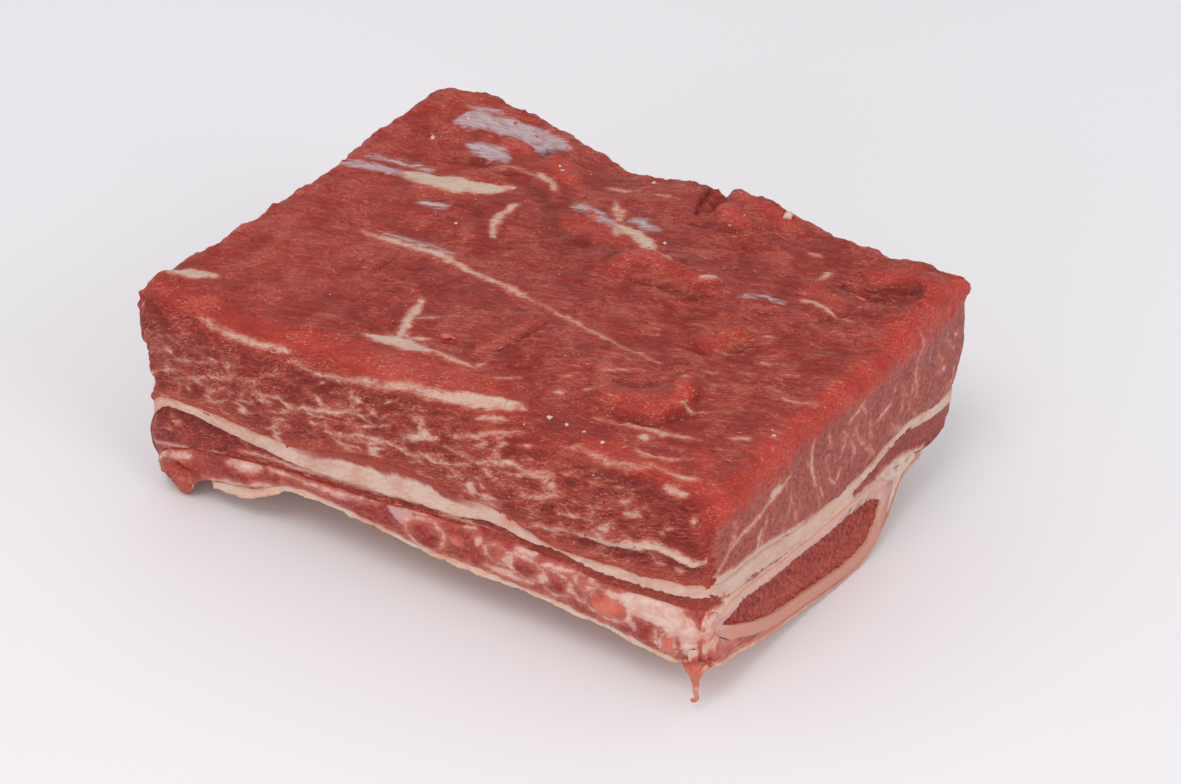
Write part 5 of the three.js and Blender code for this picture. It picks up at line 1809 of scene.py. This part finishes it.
@dataclass
class RibCortex(Layer):
    """The sawn outer bone."""

    name: str = "rib_cortex"
    node: str = "rib_bone"
    slot: str = "bone"
    bone: RibBone = field(default_factory=RibBone)
    around: int = 200

    def ring(self, x: float, core: bool) -> Array:
        """A loop round the section, upper half from front to back and lower half back again."""
        t = (1 - np.cos(np.linspace(0, math.pi, self.around + 1))) / 2
        y, high, low = self.bone.span(np.full_like(t, x), t, core)
        if core:
            lift = np.minimum(self.bone.teeth(y), 1.5) * np.sin(math.pi * t) ** 0.3
            high = high + lift
            low = low - 0.25 * np.abs(Noise(73)(np.stack([y / 1.4, y * 0, y * 0 + 2], -1)))
        upper = np.stack([np.full_like(t, x), y, high], -1)[:-1]
        lower = np.stack([np.full_like(t, x), y, low], -1)[:0:-1]
        return np.concatenate([upper, lower])

    def build(self) -> Skin:
        """An outer and an inner tube joined by dense sawn faces."""
        skin = Skin()
        stations = (X0 - 0.25, X0 + 0.6, X0 + 2, -40.0, -20.0, 0.0, 20.0, 40.0, X1 - 2, X1 - 0.6, X1 + 0.25)
        outer = [skin.add(self.ring(x, False)) for x in stations]
        inner = [skin.add(self.ring(x, True)) for x in stations]
        for k in range(len(stations) - 1):
            a, b = outer[k], outer[k + 1]
            skin.quads(a, b, np.roll(b, -1), np.roll(a, -1))
            a, b = inner[k], inner[k + 1]
            skin.quads(a, np.roll(a, -1), np.roll(b, -1), b)
        points = skin.points
        for rim, core, turned in ((outer[-1], inner[-1], False), (outer[0], inner[0], True)):
            above = rim
            for share in np.linspace(0, 1, 8)[1:]:
                below = core if share == 1 else skin.add(mix(points[rim], points[core], share))
                if turned:
                    skin.quads(above, np.roll(above, -1), np.roll(below, -1), below)
                else:
                    skin.quads(above, below, np.roll(below, -1), np.roll(above, -1))
                above = below
        return skin

    def relief(self, p: Array, n: Array) -> Array:
        """Faint saw marks."""
        sawn = Noise(74)(SAW_GRAIN.cells(p, 12.0, 1.4))
        return 0.06 * sawn + 0.05 * Noise(75)(p / 1.5)

    def values(self, p: Array, n: Array) -> dict[str, Array]:
        """Greyer lower half and a bloody inner edge."""
        x, y = p[:, 0], p[:, 1]
        q = (y - BONE_FRONT(x)) / (BONE_BACK(x) - BONE_FRONT(x))
        _, over, under = self.bone.heights(x, np.clip(q, 0, 1))
        share = (p[:, 2] - under) / np.maximum(over - under, 0.1)
        top_inside = over - self.bone.top
        inner = smooth(-(np.abs(p[:, 2] - top_inside)), -0.9, 0.1) * smooth(share, 0.4, 0.6)
        rough = Noise(76)(p / 1.2)
        bloody = inner * (0.25 + 0.5 * rough) + 0.5 * smooth(q, 0.9, 1.0) + 0.4 * smooth(-q, -0.06, 0)
        return {
            "lower": smooth(-share, -0.5, -0.3) * 0.9,
            "bloody": np.clip(bloody, 0, 0.8),
        }

    def finish(self) -> bpy.types.Material:
        """Sawn bone."""
        return BoneFinish("bone_finish").material()


@dataclass
class RibCore(Layer):
    """The spongy dark core of the bone."""

    name: str = "rib_core"
    node: str = "rib_marrow"
    slot: str = "marrow"
    bone: RibBone = field(default_factory=RibBone)
    columns: int = 190
    rows: int = 34
    recess: float = 0.35
    spare: float = 0.55

    def face(self, x: float) -> Array:
        """A grid over the core's section, a little wider than the hole in the bone."""
        t = (1 - np.cos(np.linspace(0.04, math.pi - 0.04, self.columns))) / 2
        y, high, low = self.bone.span(np.full_like(t, x), t, True)
        high = high + np.minimum(self.bone.teeth(y), 1.5) + self.spare
        low = low - self.spare
        share = np.linspace(0, 1, self.rows)[:, None]
        z = mix(low, high, share)
        return np.stack([np.full_like(z, x), np.broadcast_to(y, z.shape), z], -1)

    def build(self) -> Skin:
        """Two granular end faces and a plain tube between them."""
        skin = Skin()
        stations = (X0 + self.recess, -50.0, 0.0, 50.0, X1 - self.recess)
        first, last = skin.add(self.face(stations[0])), skin.add(self.face(stations[-1]))
        skin.grid(last, True)
        skin.grid(first)
        between = [skin.add(self.face(x).reshape(-1, 3)[self._rim()]) for x in stations[1:-1]]
        loops = [border(first), *between, border(last)]
        for a, b in zip(loops, loops[1:]):
            skin.quads(a, np.roll(a, -1), np.roll(b, -1), b)
        return skin

    def _rim(self) -> Array:
        """Places of the border in a flat list of the face's points."""
        return border(np.arange(self.rows * self.columns).reshape(self.rows, self.columns))

    def relief(self, p: Array, n: Array) -> Array:
        """Open cells and bony webs."""
        cells = WEB_GRAIN.cells(p, 1.7, 0.62)
        end = turned_to(np.abs(n), 0, 1)
        return end * (0.5 * Noise(81)(cells) + 0.3 * Noise(82)(p / 0.55) - 0.1)

    def values(self, p: Array, n: Array) -> dict[str, Array]:
        """Paler lower half."""
        x, y = p[:, 0], p[:, 1]
        low, high = self.block.film_top(x, y) + 3, self.block.bone_level(x, y) - 2
        share = (p[:, 2] - low) / np.maximum(high - low, 0.5)
        return {"lower": smooth(-share, -0.6, -0.1)}

    def finish(self) -> bpy.types.Material:
        """Marrow."""
        return MarrowFinish("marrow_finish").material()


@dataclass(frozen=True)
class Lobe:
    """A round swelling on the long side: centre [along, height], half axes and how far it stands out."""

    centre: tuple[float, float]
    radii: tuple[float, float]
    out: float
    ring: float = 0.0
    orange: float = 0.0
    red: float = 0.0

    def inside(self, x: Array, z: Array) -> Array:
        """1 at the lobe's middle, 0 at its edge, below zero outside."""
        return 1 - np.hypot((x - self.centre[0]) / self.radii[0], (z - self.centre[1]) / self.radii[1])


LOBES = (
    Lobe((2.8, 12.9), (3.6, 2.6), 0.9, ring=0.25, red=0.5),
    Lobe((9.1, 14.0), (1.9, 1.3), 0.7, orange=0.75),
    Lobe((16.6, 14.2), (2.3, 1.6), 0.7, ring=0.2, red=0.6, orange=0.25),
    Lobe((22.0, 13.9), (3.4, 1.9), 0.8, ring=0.5, red=0.75),
    Lobe((27.4, 13.2), (2.6, 2.2), 0.5, ring=0.25, red=0.55),
    Lobe((33.0, 15.6), (1.9, 1.6), 0.6, ring=0.3, orange=0.35, red=0.4),
    Lobe((36.9, 13.3), (4.1, 2.6), 1.0, ring=0.5, orange=0.95),
    Lobe((43.6, 10.6), (2.0, 2.6), 0.4, red=0.8),
    Lobe((47.9, 10.7), (1.3, 2.1), 0.5, ring=0.4, orange=0.85),
    Lobe((-9.0, 12.8), (4.4, 2.6), 0.5, red=0.4),
    Lobe((-36.0, 8.6), (5.0, 2.4), 0.5, red=0.4),
    Lobe((-46.6, 7.2), (3.0, 1.0), 0.4, orange=0.4, red=0.3),
)
TISSUE_FAT = (
    Stroke(0.9, ((-54.6, 4.4), (-51.6, 6.6), (-49.5, 7.4), (-45.5, 9.0)), 0.3),
    Stroke(1.0, ((-38.0, 10.6), (-34.0, 11.2), (-31.1, 12.0))),
    Stroke(0.35, ((-30.0, 12.6), (-22.0, 13.0), (-14.0, 13.8), (-6.0, 15.6))),
    Stroke(0.9, ((12.2, 15.6), (13.6, 15.2))),
    Stroke(0.55, ((13.6, 11.4), (19.4, 11.3), (23.5, 11.6))),
    Stroke(0.4, ((24.6, 15.9), (27.6, 16.2), (31.0, 16.9))),
    Stroke(0.32, ((30.0, 15.0), (30.2, 13.0), (31.8, 12.0), (33.8, 11.6))),
    Stroke(0.3, ((31.2, 17.4), (33.1, 17.6), (34.9, 16.2), (34.4, 14.6))),
    Stroke(2.6, ((40.4, 15.6), (45.3, 16.2), (50.0, 15.2), (53.4, 14.0)), 0.2),
    Stroke(1.7, ((50.4, 15.0), (52.0, 12.0), (52.2, 9.6)), 0.2),
    Stroke(0.5, ((45.6, 12.6), (45.9, 10.0), (46.4, 8.6))),
    Stroke(0.5, ((20.0, 16.6), (24.0, 16.9))),
    Stroke(0.35, ((-3.0, 16.4), (0.6, 16.2), (6.0, 17.0), (12.0, 17.0))),
)
TISSUE_CREAM = (
    Stroke(0.5, ((-54.0, 3.0), (-46.0, 4.0), (-36.0, 7.2), (-24.0, 10.4), (-9.0, 10.8)), 0.0),
    Stroke(0.35, ((-9.0, 10.8), (2.0, 9.9), (20.0, 9.7), (36.0, 8.9), (50.0, 8.3)), 0.0),
)
TISSUE_SILVER = (
    Stroke(1.1, ((-4.6, 15.0), (-2.0, 14.6), (0.0, 15.6))),
    Stroke(0.6, ((-16.0, 13.4), (-12.0, 13.8))),
    Stroke(0.8, ((41.0, 12.6), (41.6, 10.6))),
    Stroke(0.9, ((48.0, 13.4), (52.0, 13.0))),
)


@dataclass
class EdgeTissue(Layer):
    """Soft tissue in front of and under the bone, with the red lump and the hanging shred."""

    name: str = "edge_tissue"
    node: str = "side_tissue"
    slot: str = "side_tissue"
    bone: RibBone = field(default_factory=RibBone)
    columns: int = 262
    face_rows: int = 24
    sole_rows: int = 8
    sole_share: float = 0.24
    behind: float = 3.2

    def build(self) -> Skin:
        """The body, the lump and the shred, each a closed skin."""
        skin = Skin()
        self.body(skin)
        self.lump(skin)
        self.tail(skin)
        return skin

    def body(self, skin: Skin) -> None:
        """The long body: its outer face runs under the bone and up the side, the inner one by the bone."""
        block = self.block
        x = np.linspace(X0, X1, self.columns)[:, None]
        turn = np.linspace(1, 0, self.sole_rows)[None, :]
        sole_y = mix(Y0, mix(BONE_FRONT(x), BONE_BACK(x), self.sole_share), turn)
        sole = np.stack([x + 0 * sole_y, sole_y, block.film_top(x, sole_y) + 0.1], -1)
        t = np.linspace(0, 1, self.face_rows)[None, 1:]
        low, high = block.film_top(x, Y0) + 0.1, block.bone_level(x, Y0) + 0.4
        z = mix(low, high, t)
        swell = sum(lobe.out * smooth(lobe.inside(x, z), -0.1, 0.75) for lobe in LOBES)
        y = Y0 - swell - 0.25 * np.sin(math.pi * t) ** 0.6 + 0.2 * smooth(t, 0.82, 1.0)
        face = np.stack([x + 0 * z, y, z], -1)
        outer = np.concatenate([sole, face], axis=1)
        front = BONE_FRONT(x) + self.behind
        under_y, _, under = self.bone.heights(x, turn * self.sole_share)
        under = under + 0.1 + 1.4 * (1 - smooth(turn * self.sole_share, 0.0, 0.07))
        inner_sole = np.stack([x + 0 * under_y, np.where(turn > 0, under_y, front), under], -1)
        inner_face = np.stack([x + 0 * z, front + 0 * z, mix(under[:, -1:], high + 0.1, t)], -1)
        inner = np.concatenate([inner_sole, inner_face], axis=1)
        a, b = skin.add(outer), skin.add(inner)
        skin.grid(a)
        skin.grid(b, True)
        points = skin.points
        loop, goal = border(a), border(b)
        above = loop
        for share in (0.2, 0.4, 0.6, 0.8, 1.0):
            below = goal if share == 1.0 else skin.add(mix(points[loop], points[goal], share))
            skin.wall(above, below)
            above = below

    def lump(self, skin: Skin) -> None:
        """The red lump that touches the table: wide above, pointed below."""
        around, rings = 52, 34
        fold, knob = Noise(97), Noise(98)
        tilt = np.linspace(0.03, math.pi - 0.03, rings)
        turn = np.linspace(0, 2 * math.pi, around, endpoint=False)
        loops = []
        for angle in tilt:
            up = np.cos(angle)
            wide = np.sin(angle) * (1 + 0.42 * up) * (0.86 if up < 0 else 1.0)
            round_x, round_y = np.cos(turn), np.sin(turn)
            spot = np.stack([round_x * 1.3, round_y * 1.3, np.full(around, up * 1.1)], -1)
            crease = 0.22 * np.exp(-((round_x + 0.1) / 0.16) ** 2) * (round_y < 0)
            swell = 1 + 0.3 * fold(spot * 0.9) + 0.12 * knob(spot * 2.6) - crease
            x = -48.9 + 3.5 * wide * swell * round_x - 0.5 * up
            y = -39.2 + 2.4 * wide * swell * round_y
            loops.append(skin.add(np.stack([x, y, 3.5 + 3.5 * up + 0 * x], -1)))
        for a, b in zip(loops, loops[1:]):
            skin.wall(a, b)
        for loop, turned in ((loops[0], False), (loops[-1], True)):
            self.cap(skin, loop, turned)

    @staticmethod
    def cap(skin: Skin, loop: Array, turned: bool) -> None:
        """Closes a loop with a fan round its middle, facing up, or down when turned."""
        middle = skin.add(skin.points[loop].mean(0)[None, :])[0]
        after = np.roll(loop, -1)
        hub = np.full(len(loop), middle)
        skin.faces.append(np.stack([hub, after, loop] if turned else [hub, loop, after], -1))

    def tail(self, skin: Skin) -> None:
        """The hanging shred, forked at its root and curled at its tip."""
        strands = (
            (
                (51.0, -40.6, 9.6, 0.7), (52.4, -41.0, 8.4, 1.0), (53.6, -41.3, 7.0, 0.85),
                (54.0, -41.4, 5.2, 0.6), (53.9, -41.4, 3.8, 0.48),
            ),
            (
                (52.6, -40.4, 11.6, 0.9), (53.2, -41.0, 9.4, 1.0),
                (53.8, -41.4, 7.0, 0.8), (54.1, -41.5, 5.0, 0.5),
            ),
            (
                (55.6, -39.6, 9.4, 0.6), (54.9, -40.6, 8.2, 0.7),
                (54.2, -41.2, 6.8, 0.6), (54.0, -41.4, 5.4, 0.4),
            ),
            (
                (53.95, -41.4, 4.6, 0.5), (54.1, -41.4, 3.4, 0.42), (54.2, -41.4, 2.6, 0.4),
                (53.7, -41.6, 2.3, 0.42), (53.3, -41.7, 2.8, 0.3),
            ),
        )
        for strand in strands:
            path = np.array(strand)
            share = np.linspace(0, 1, 26)
            stations = np.linspace(0, 1, len(path))
            centre = np.stack([Line(tuple(zip(stations, path[:, k])))(share) for k in range(4)], -1)
            ahead = np.gradient(centre[:, :3], axis=0)
            ahead /= np.linalg.norm(ahead, axis=1, keepdims=True)
            across_one = np.cross(ahead, (0.2, 1.0, 0.1))
            across_one /= np.linalg.norm(across_one, axis=1, keepdims=True)
            across_two = np.cross(ahead, across_one)
            turn = np.linspace(0, 2 * math.pi, 14, endpoint=False)
            loops = []
            for k in range(len(centre)):
                radius = centre[k, 3] * (0.55 if k in (0, len(centre) - 1) else 1.0)
                spoke = np.cos(turn)[:, None] * across_one[k] + 0.8 * np.sin(turn)[:, None] * across_two[k]
                loops.append(skin.add(centre[k, :3] + radius * spoke))
            for a, b in zip(loops, loops[1:]):
                skin.quads(a, np.roll(a, -1), np.roll(b, -1), b)
            self.cap(skin, loops[0], True)
            self.cap(skin, loops[-1], False)

    def relief(self, p: Array, n: Array) -> Array:
        """Membrane folds and small lumps."""
        out = 0.22 * Noise(91)(p / 2.8) + 0.14 * Noise(92)(p / 1.1) + 0.07 * Noise(93)(p / 0.55)
        out = out + 0.14 * Noise(94)(SIDE_GRAIN.cells(p, 5.0, 0.8))
        tail = smooth(p[:, 0], 50.5, 51.5) * smooth(-p[:, 2], -9.5, -8) * smooth(-p[:, 1], 40.2, 40.6)
        dark = 0.8 * smooth(1 - np.hypot(p[:, 0] - 4.7, p[:, 2] - 12.5) / 1.2, 0, 1) * turned_to(n, 1, -1)
        return out * (1 - 0.75 * tail) - dark

    def values(self, p: Array, n: Array) -> dict[str, Array]:
        """Rings round the lobes, domes, membranes, the pale rim and painted shade in a small pit."""
        rough = Noise(95)(p / 1.9)
        x, z = p[:, 0] + 0.35 * rough, p[:, 2] + 0.3 * Noise(96)(p / 1.5)
        front = turned_to(n, 1, -1, 0.0, 0.4)
        ring, red, orange = np.full(len(p), OUTSIDE), np.zeros(len(p)), np.zeros(len(p))
        for lobe in LOBES:
            inside = lobe.inside(x, z)
            size = min(lobe.radii)
            if lobe.ring:
                ring = np.maximum(ring, lobe.ring * (0.5 + 0.8 * rough) - np.abs(inside + 0.02) * size)
            red = np.maximum(red, lobe.red * smooth(inside, 0.0, 0.35))
            orange = np.maximum(orange, lobe.orange * smooth(inside, 0.05, 0.6))
        lump = hill(p[:, 0], p[:, 2], (-48.6, 2.6), (4.2, 3.4))
        lump = lump * smooth(-p[:, 1], 38, 39.6) * smooth(-p[:, 0], 42, 44)
        tail = smooth(p[:, 0], 50.8, 52.2) * smooth(-z, -10.2, -8.6) * smooth(-p[:, 1], 40.2, 40.8)
        lumpy = smooth(lump, 0.1, 0.5)
        orange = np.maximum(orange * (1 - lumpy), np.maximum(0.35 * lumpy, 0.85 * tail))
        red = np.maximum(red, 0.9 * lumpy)
        fat = np.maximum(ring, deepest(x, z, TISSUE_FAT))
        cream = deepest(x, z, TISSUE_CREAM) - 0.1
        both = np.maximum(fat, cream) - 4.0 * np.maximum(lump, tail)
        end = turned_to(n, 0, 1, 0.5, 0.8)
        both = np.where(end > 0.5, -0.6 + 1.4 * rough + 0.9 * smooth(z, 9.5, 11), both)
        # Painted shade in the small sunk pit by the lobes.
        dark = smooth(1 - np.hypot(x - 4.7, z - 12.5) / 1.5, 0, 0.8) * front
        return {
            "side": np.ones(len(p)),
            "fat": np.where((front > 0.3) | (end > 0.5), both, -1.5),
            "creamy": smooth(cream - fat, -0.2, 0.4),
            "silver": np.where(front > 0.3, deepest(x, z, TISSUE_SILVER), OUTSIDE),
            "lobe": red * front,
            "orange": np.clip(orange + 0.35 * end, 0, 1),
            "painted_shade": dark,
        }

    def finish(self) -> bpy.types.Material:
        """Wet tissue."""
        return TissueFinish("tissue_finish").material()


@dataclass
class BackFat(Layer):
    """The soft cream fat beyond the bone's back edge."""

    name: str = "back_fat"
    node: str = "far_fat"
    slot: str = "cream_fat"
    back: float = 26.0
    inside: float = 4.0

    def build(self) -> Skin:
        """A slab from the bone's back edge to the open air."""
        skin = Skin()
        skin.slab(
            lambda u, v: (mix(X0, X1, u), mix(BONE_BACK(mix(X0, X1, u)) - self.inside, self.back, v)),
            lambda x, y: self.block.bone_level(x, y) + 0.15,
            lambda x, y: self.block.film_top(x, y) + 0.1,
            counts=(200, 24),
            rows=16,
            inner=(28, 6),
            sole=(28, 6),
        )
        return skin

    def relief(self, p: Array, n: Array) -> Array:
        """Soft lumps."""
        return 0.2 * Noise(101)(p / 2.4) + 0.12 * Noise(102)(p / 0.9)

    def values(self, p: Array, n: Array) -> dict[str, Array]:
        """A few red threads."""
        noise = Noise(103)(p / 2.0)
        return {
            "side": np.ones(len(p)),
            "red": smooth(noise, 0.25, 0.6) * 0.5,
            "glow": smooth(-noise, 0.2, 0.6) * 0.3,
        }

    def finish(self) -> bpy.types.Material:
        """Cream fat."""
        return FatFinish("cream_fat_finish", PAINT.cream, PAINT.fat).material()


@dataclass
class UnderFilm(Layer):
    """The film under the bone, with its pale rim and the fat pad that hangs at the long side."""

    name: str = "under_film"
    node: str = "rib_film"
    slot: str = "film"
    back: float = 29.0

    def front(self, x: Array) -> Array:
        """Where the film's front edge runs: behind the lump and behind the shred it is drawn back."""
        return -39.9 + 4.2 * (1 - smooth(x, -45.5, -41)) + 1.6 * smooth(x, 48, 51)

    def build(self) -> Skin:
        """A thin slab with a dense underside."""
        skin = Skin()

        def under(x: Array, y: Array) -> Array:
            pad = 0.9 * hill(x, y, (-35, -39.5), (8, 2.6))
            return np.maximum(self.block.underside(x, y) - pad, 0.0)

        skin.slab(
            lambda u, v: (mix(X0, X1, u), mix(self.front(mix(X0, X1, u)), self.back, v)),
            lambda x, y: self.block.film_top(x, y) + 0.25,
            under,
            counts=(262, 165),
            rows=7,
            sole=(170, 110),
        )
        return skin

    def relief(self, p: Array, n: Array) -> Array:
        """Wrinkles, and a crumbly rim."""
        rim = 1 - smooth(p[:, 1] - self.front(p[:, 0]), 0.0, 2.0)
        out = 0.16 * Noise(111)(p / np.array([6.0, 2.6, 3.0])) + 0.07 * Noise(112)(p / 1.1)
        return out + rim * (0.3 * Noise(113)(p / 3.4) + 0.2 * Noise(114)(p / 0.8) - 0.1)

    def values(self, p: Array, n: Array) -> dict[str, Array]:
        """Cream along the rim, rosier and more orange over the bone."""
        noise = Noise(115)(p / np.array([5.0, 2.2, 2.2]))
        end = turned_to(np.abs(n), 0, 1, 0.5, 0.8)
        rim = 1 - smooth(p[:, 1] - self.front(p[:, 0]), 0.3, 2.6)
        height = (p[:, 2] - self.block.underside(p[:, 0], p[:, 1])) / self.block.membrane
        upper = end * smooth(height, 0.45, 0.8)
        pad = hill(p[:, 0], p[:, 1], (-35, -39.5), (9, 4))
        return {
            "side": np.ones(len(p)),
            "red": np.clip(0.3 * smooth(noise, 0.1, 0.5) * (1 - rim) + upper * 0.55, 0, 0.8),
            "glow": np.clip(0.45 * (1 - rim) * smooth(-noise, -0.3, 0.3) + upper * 0.5 - pad, 0, 0.8),
        }

    def finish(self) -> bpy.types.Material:
        """Film over pale fat."""
        return FatFinish("film_finish", PAINT.cream, PAINT.film).material()


# ------------------------------------------------------------------ crumbs and frayed fibres
class Loose(Enum):
    """Kinds of small loose bits, with the name of the piece that each makes."""

    CRUMB_AND_GLINT = "fat_crumbs_and_glints"
    SHRED = "meat_shreds"


@dataclass
class Crumbs:
    """Many small irregular bits that lie on the meat."""

    kind: Loose
    seed: int
    spots: tuple[tuple[float, float, float], ...]
    count: int
    sizes: tuple[float, float]
    drawn_out: float = 1.0

    def dress(self, ground: bpy.types.Object, plain: Array) -> bpy.types.Object:
        """Puts the bits on the ground piece.

        Args:
            ground: the piece that they lie on.
            plain: the plain-block coordinates, unrolled, of its points.
        """
        rng = np.random.default_rng(self.seed)
        count = len(ground.data.vertices)
        where, facing = np.zeros(count * 3), np.zeros(count * 3)
        ground.data.vertices.foreach_get("co", where)
        ground.data.vertices.foreach_get("normal", facing)
        where, facing = where.reshape(-1, 3) / MM, facing.reshape(-1, 3)
        spots = list(self.spots)
        for _ in range(self.count):
            spots.append((rng.uniform(-53, 54), rng.uniform(-54, 39), rng.uniform(*self.sizes)))
        skin = Skin()
        rings, around = 6, 9
        for x, s, size in spots:
            k = int(np.argmin((plain[:, 0] - x) ** 2 + (plain[:, 1] - s) ** 2))
            up = facing[k]
            along = unit(np.cross(up, rng.normal(size=3)))
            if self.drawn_out > 1:
                fibre = np.array(TOP_GRAIN.along)
                along = unit(fibre - up * np.dot(up, fibre) + 0.35 * rng.normal(size=3))
            over = np.cross(up, along)
            stretch = rng.uniform(0.8, 1.2, 3) * np.array([self.drawn_out, 1.0, 0.75])
            knobs = rng.uniform(0.5, 1.35, (rings, around))
            loops = []
            for r in range(rings):
                angle = math.pi * (r + 0.5) / rings
                turn = np.linspace(0, 2 * math.pi, around, endpoint=False)
                radius = size * knobs[r]
                a = radius * np.sin(angle) * np.cos(turn) * stretch[0]
                b = radius * np.sin(angle) * np.sin(turn) * stretch[1]
                c = size * math.cos(angle) * stretch[2] * 0.8
                loops.append(skin.add(where[k] + a[:, None] * along + b[:, None] * over + c * up))
            for upper, lower in zip(loops, loops[1:]):
                skin.wall(upper, lower)
            EdgeTissue.cap(skin, loops[0], False)
            EdgeTissue.cap(skin, loops[-1], True)
        points = skin.points
        points[:, 2] = np.maximum(points[:, 2], 0.0)
        none = np.zeros(len(points))
        values = {"side": np.ones(len(points)), "red": none, "glow": none}
        thing = skin.object(self.kind.value, points, values)
        if self.kind is Loose.CRUMB_AND_GLINT:
            # Pale crumbs, which also stand in for painted glints.
            thing.data.materials.append(FatFinish("crumb_and_glint_finish", PAINT.crumb_and_glint, PAINT.fat).material())
        else:
            thing.data.materials.append(FatFinish("shred_finish", PAINT.shred, PAINT.shred_dark).material())
        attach(thing, "root")
        return thing


# ------------------------------------------------------------------ camera, light and table
@dataclass(frozen=True)
class Studio:
    """The camera, the soft light and the pale table."""

    camera_at: tuple[float, float, float] = (0.22582, -0.32157, 0.26755)
    toward: tuple[float, float, float] = (-0.4742, 0.6952, -0.5402)
    lens: float = 85.0
    world: float = 0.72
    low: float = 1.05
    key: float = 2.25
    fill: float = 1.2

    def camera(self) -> None:
        """Places the camera."""
        data = bpy.data.cameras.new("view")
        data.lens, data.sensor_width = self.lens, 36.0
        data.clip_start, data.clip_end = 0.01, 20.0
        thing = bpy.data.objects.new("view", data)
        thing.location = self.camera_at
        thing.rotation_euler = Vector(self.toward).to_track_quat("-Z", "Y").to_euler()
        bpy.context.scene.collection.objects.link(thing)
        bpy.context.scene.camera = thing

    def light(self) -> None:
        """Pale surroundings and three soft boxes."""
        world = bpy.data.worlds.new("room")
        world.use_nodes = True
        shade = world.node_tree.nodes["Background"]
        shade.inputs["Color"].default_value = (1.0, 0.99, 0.985, 1.0)
        shade.inputs["Strength"].default_value = self.world
        bpy.context.scene.world = world
        for name, at, size, power, colour in (
            ("low_box", (0.08, -0.86, 0.2), 0.36, self.low, (1.0, 0.98, 0.965)),
            ("high_box", (0.1, -0.5, 0.85), 0.4, self.key, (1.0, 0.985, 0.975)),
            ("right_box", (0.72, -0.16, 0.42), 0.36, self.fill, (1.0, 0.98, 0.965)),
        ):
            data = bpy.data.lights.new(name, "AREA")
            data.shape, data.size, data.energy, data.color = "SQUARE", size, power, colour
            lamp = bpy.data.objects.new(name, data)
            lamp.location = at
            lamp.rotation_euler = (Vector((0, 0, 0.02)) - Vector(at)).to_track_quat("-Z", "Y").to_euler()
            bpy.context.scene.collection.objects.link(lamp)
        bpy.context.scene.view_settings.view_transform = "Standard"

    def table(self) -> None:
        """A wide pale table."""
        half = 3.0
        mesh = bpy.data.meshes.new("table")
        corners = [(-half, -half, 0), (half, -half, 0), (half, half, 0), (-half, half, 0)]
        mesh.from_pydata(corners, [], [(0, 1, 2, 3)])
        thing = bpy.data.objects.new("table", mesh)
        bpy.context.scene.collection.objects.link(thing)
        s = Shader("table_finish", Specular_IOR_Level=0.25)
        cloud = s.noise(s.place(), 0.004, 2.0)
        colour = s.blend(cloud.step(0.3, 0.7), PAINT.table, PAINT.table_light)
        mesh.materials.append(s.finish(colour, 0.55 + (cloud - 0.5) * 0.1, cloud, 0.05, 0.1))


def main() -> None:
    """Builds every layer in order, from the table up, and sets the scene."""
    logging.basicConfig(level=logging.INFO, format="%(name)s: %(message)s")
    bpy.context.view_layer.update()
    layers = (UnderFilm(), BackFat(), RibCore(), RibCortex(), EdgeTissue(), LowerMeat(), SeamFat(), MeatTop())
    for layer in layers:
        piece = layer.dress()
        log.info("dressed %s for %s", piece.name, layer.node)
    meat = MeatTop()
    plain = meat.build().points
    flat = np.stack([plain[:, 0], meat.block.unrolled(plain)], -1)
    ground = bpy.data.objects["meat_top"]
    pale_spots = (
        (-45.4, 26.4, 0.5), (-44.9, 25.6, 0.36), (-25.4, 6.3, 0.4), (7.6, 20.4, 0.42), (28.6, -33.8, 0.34),
        (32.5, -34.6, 0.36), (21.6, -33.0, 0.5), (25.2, -33.5, 0.42), (53.1, -18.6, 0.36), (52.2, -17.6, 0.2),
        (-20.7, 29.4, 0.4), (-21.9, 29.9, 0.35), (20.6, 37.8, 0.8), (-5.9, 35.4, 0.42), (-43.5, 31.6, 0.45),
    )
    # The seeded tiny pale crumbs also stand in for painted glints on the moist surface.
    Crumbs(Loose.CRUMB_AND_GLINT, 5, pale_spots, 60, (0.07, 0.17)).dress(ground, flat)
    red_spots = (
        (-8.6, 21.6, 0.5), (-7.4, 21.0, 0.5), (-4.4, -24.2, 0.6), (-3.4, -23.6, 0.4), (43.3, 24.4, 0.5),
    )
    Crumbs(Loose.SHRED, 6, red_spots, 50, (0.12, 0.28), 2.2).dress(ground, flat)
    studio = Studio()
    studio.camera()
    studio.light()
    studio.table()


if __name__ == "__main__":
    main()
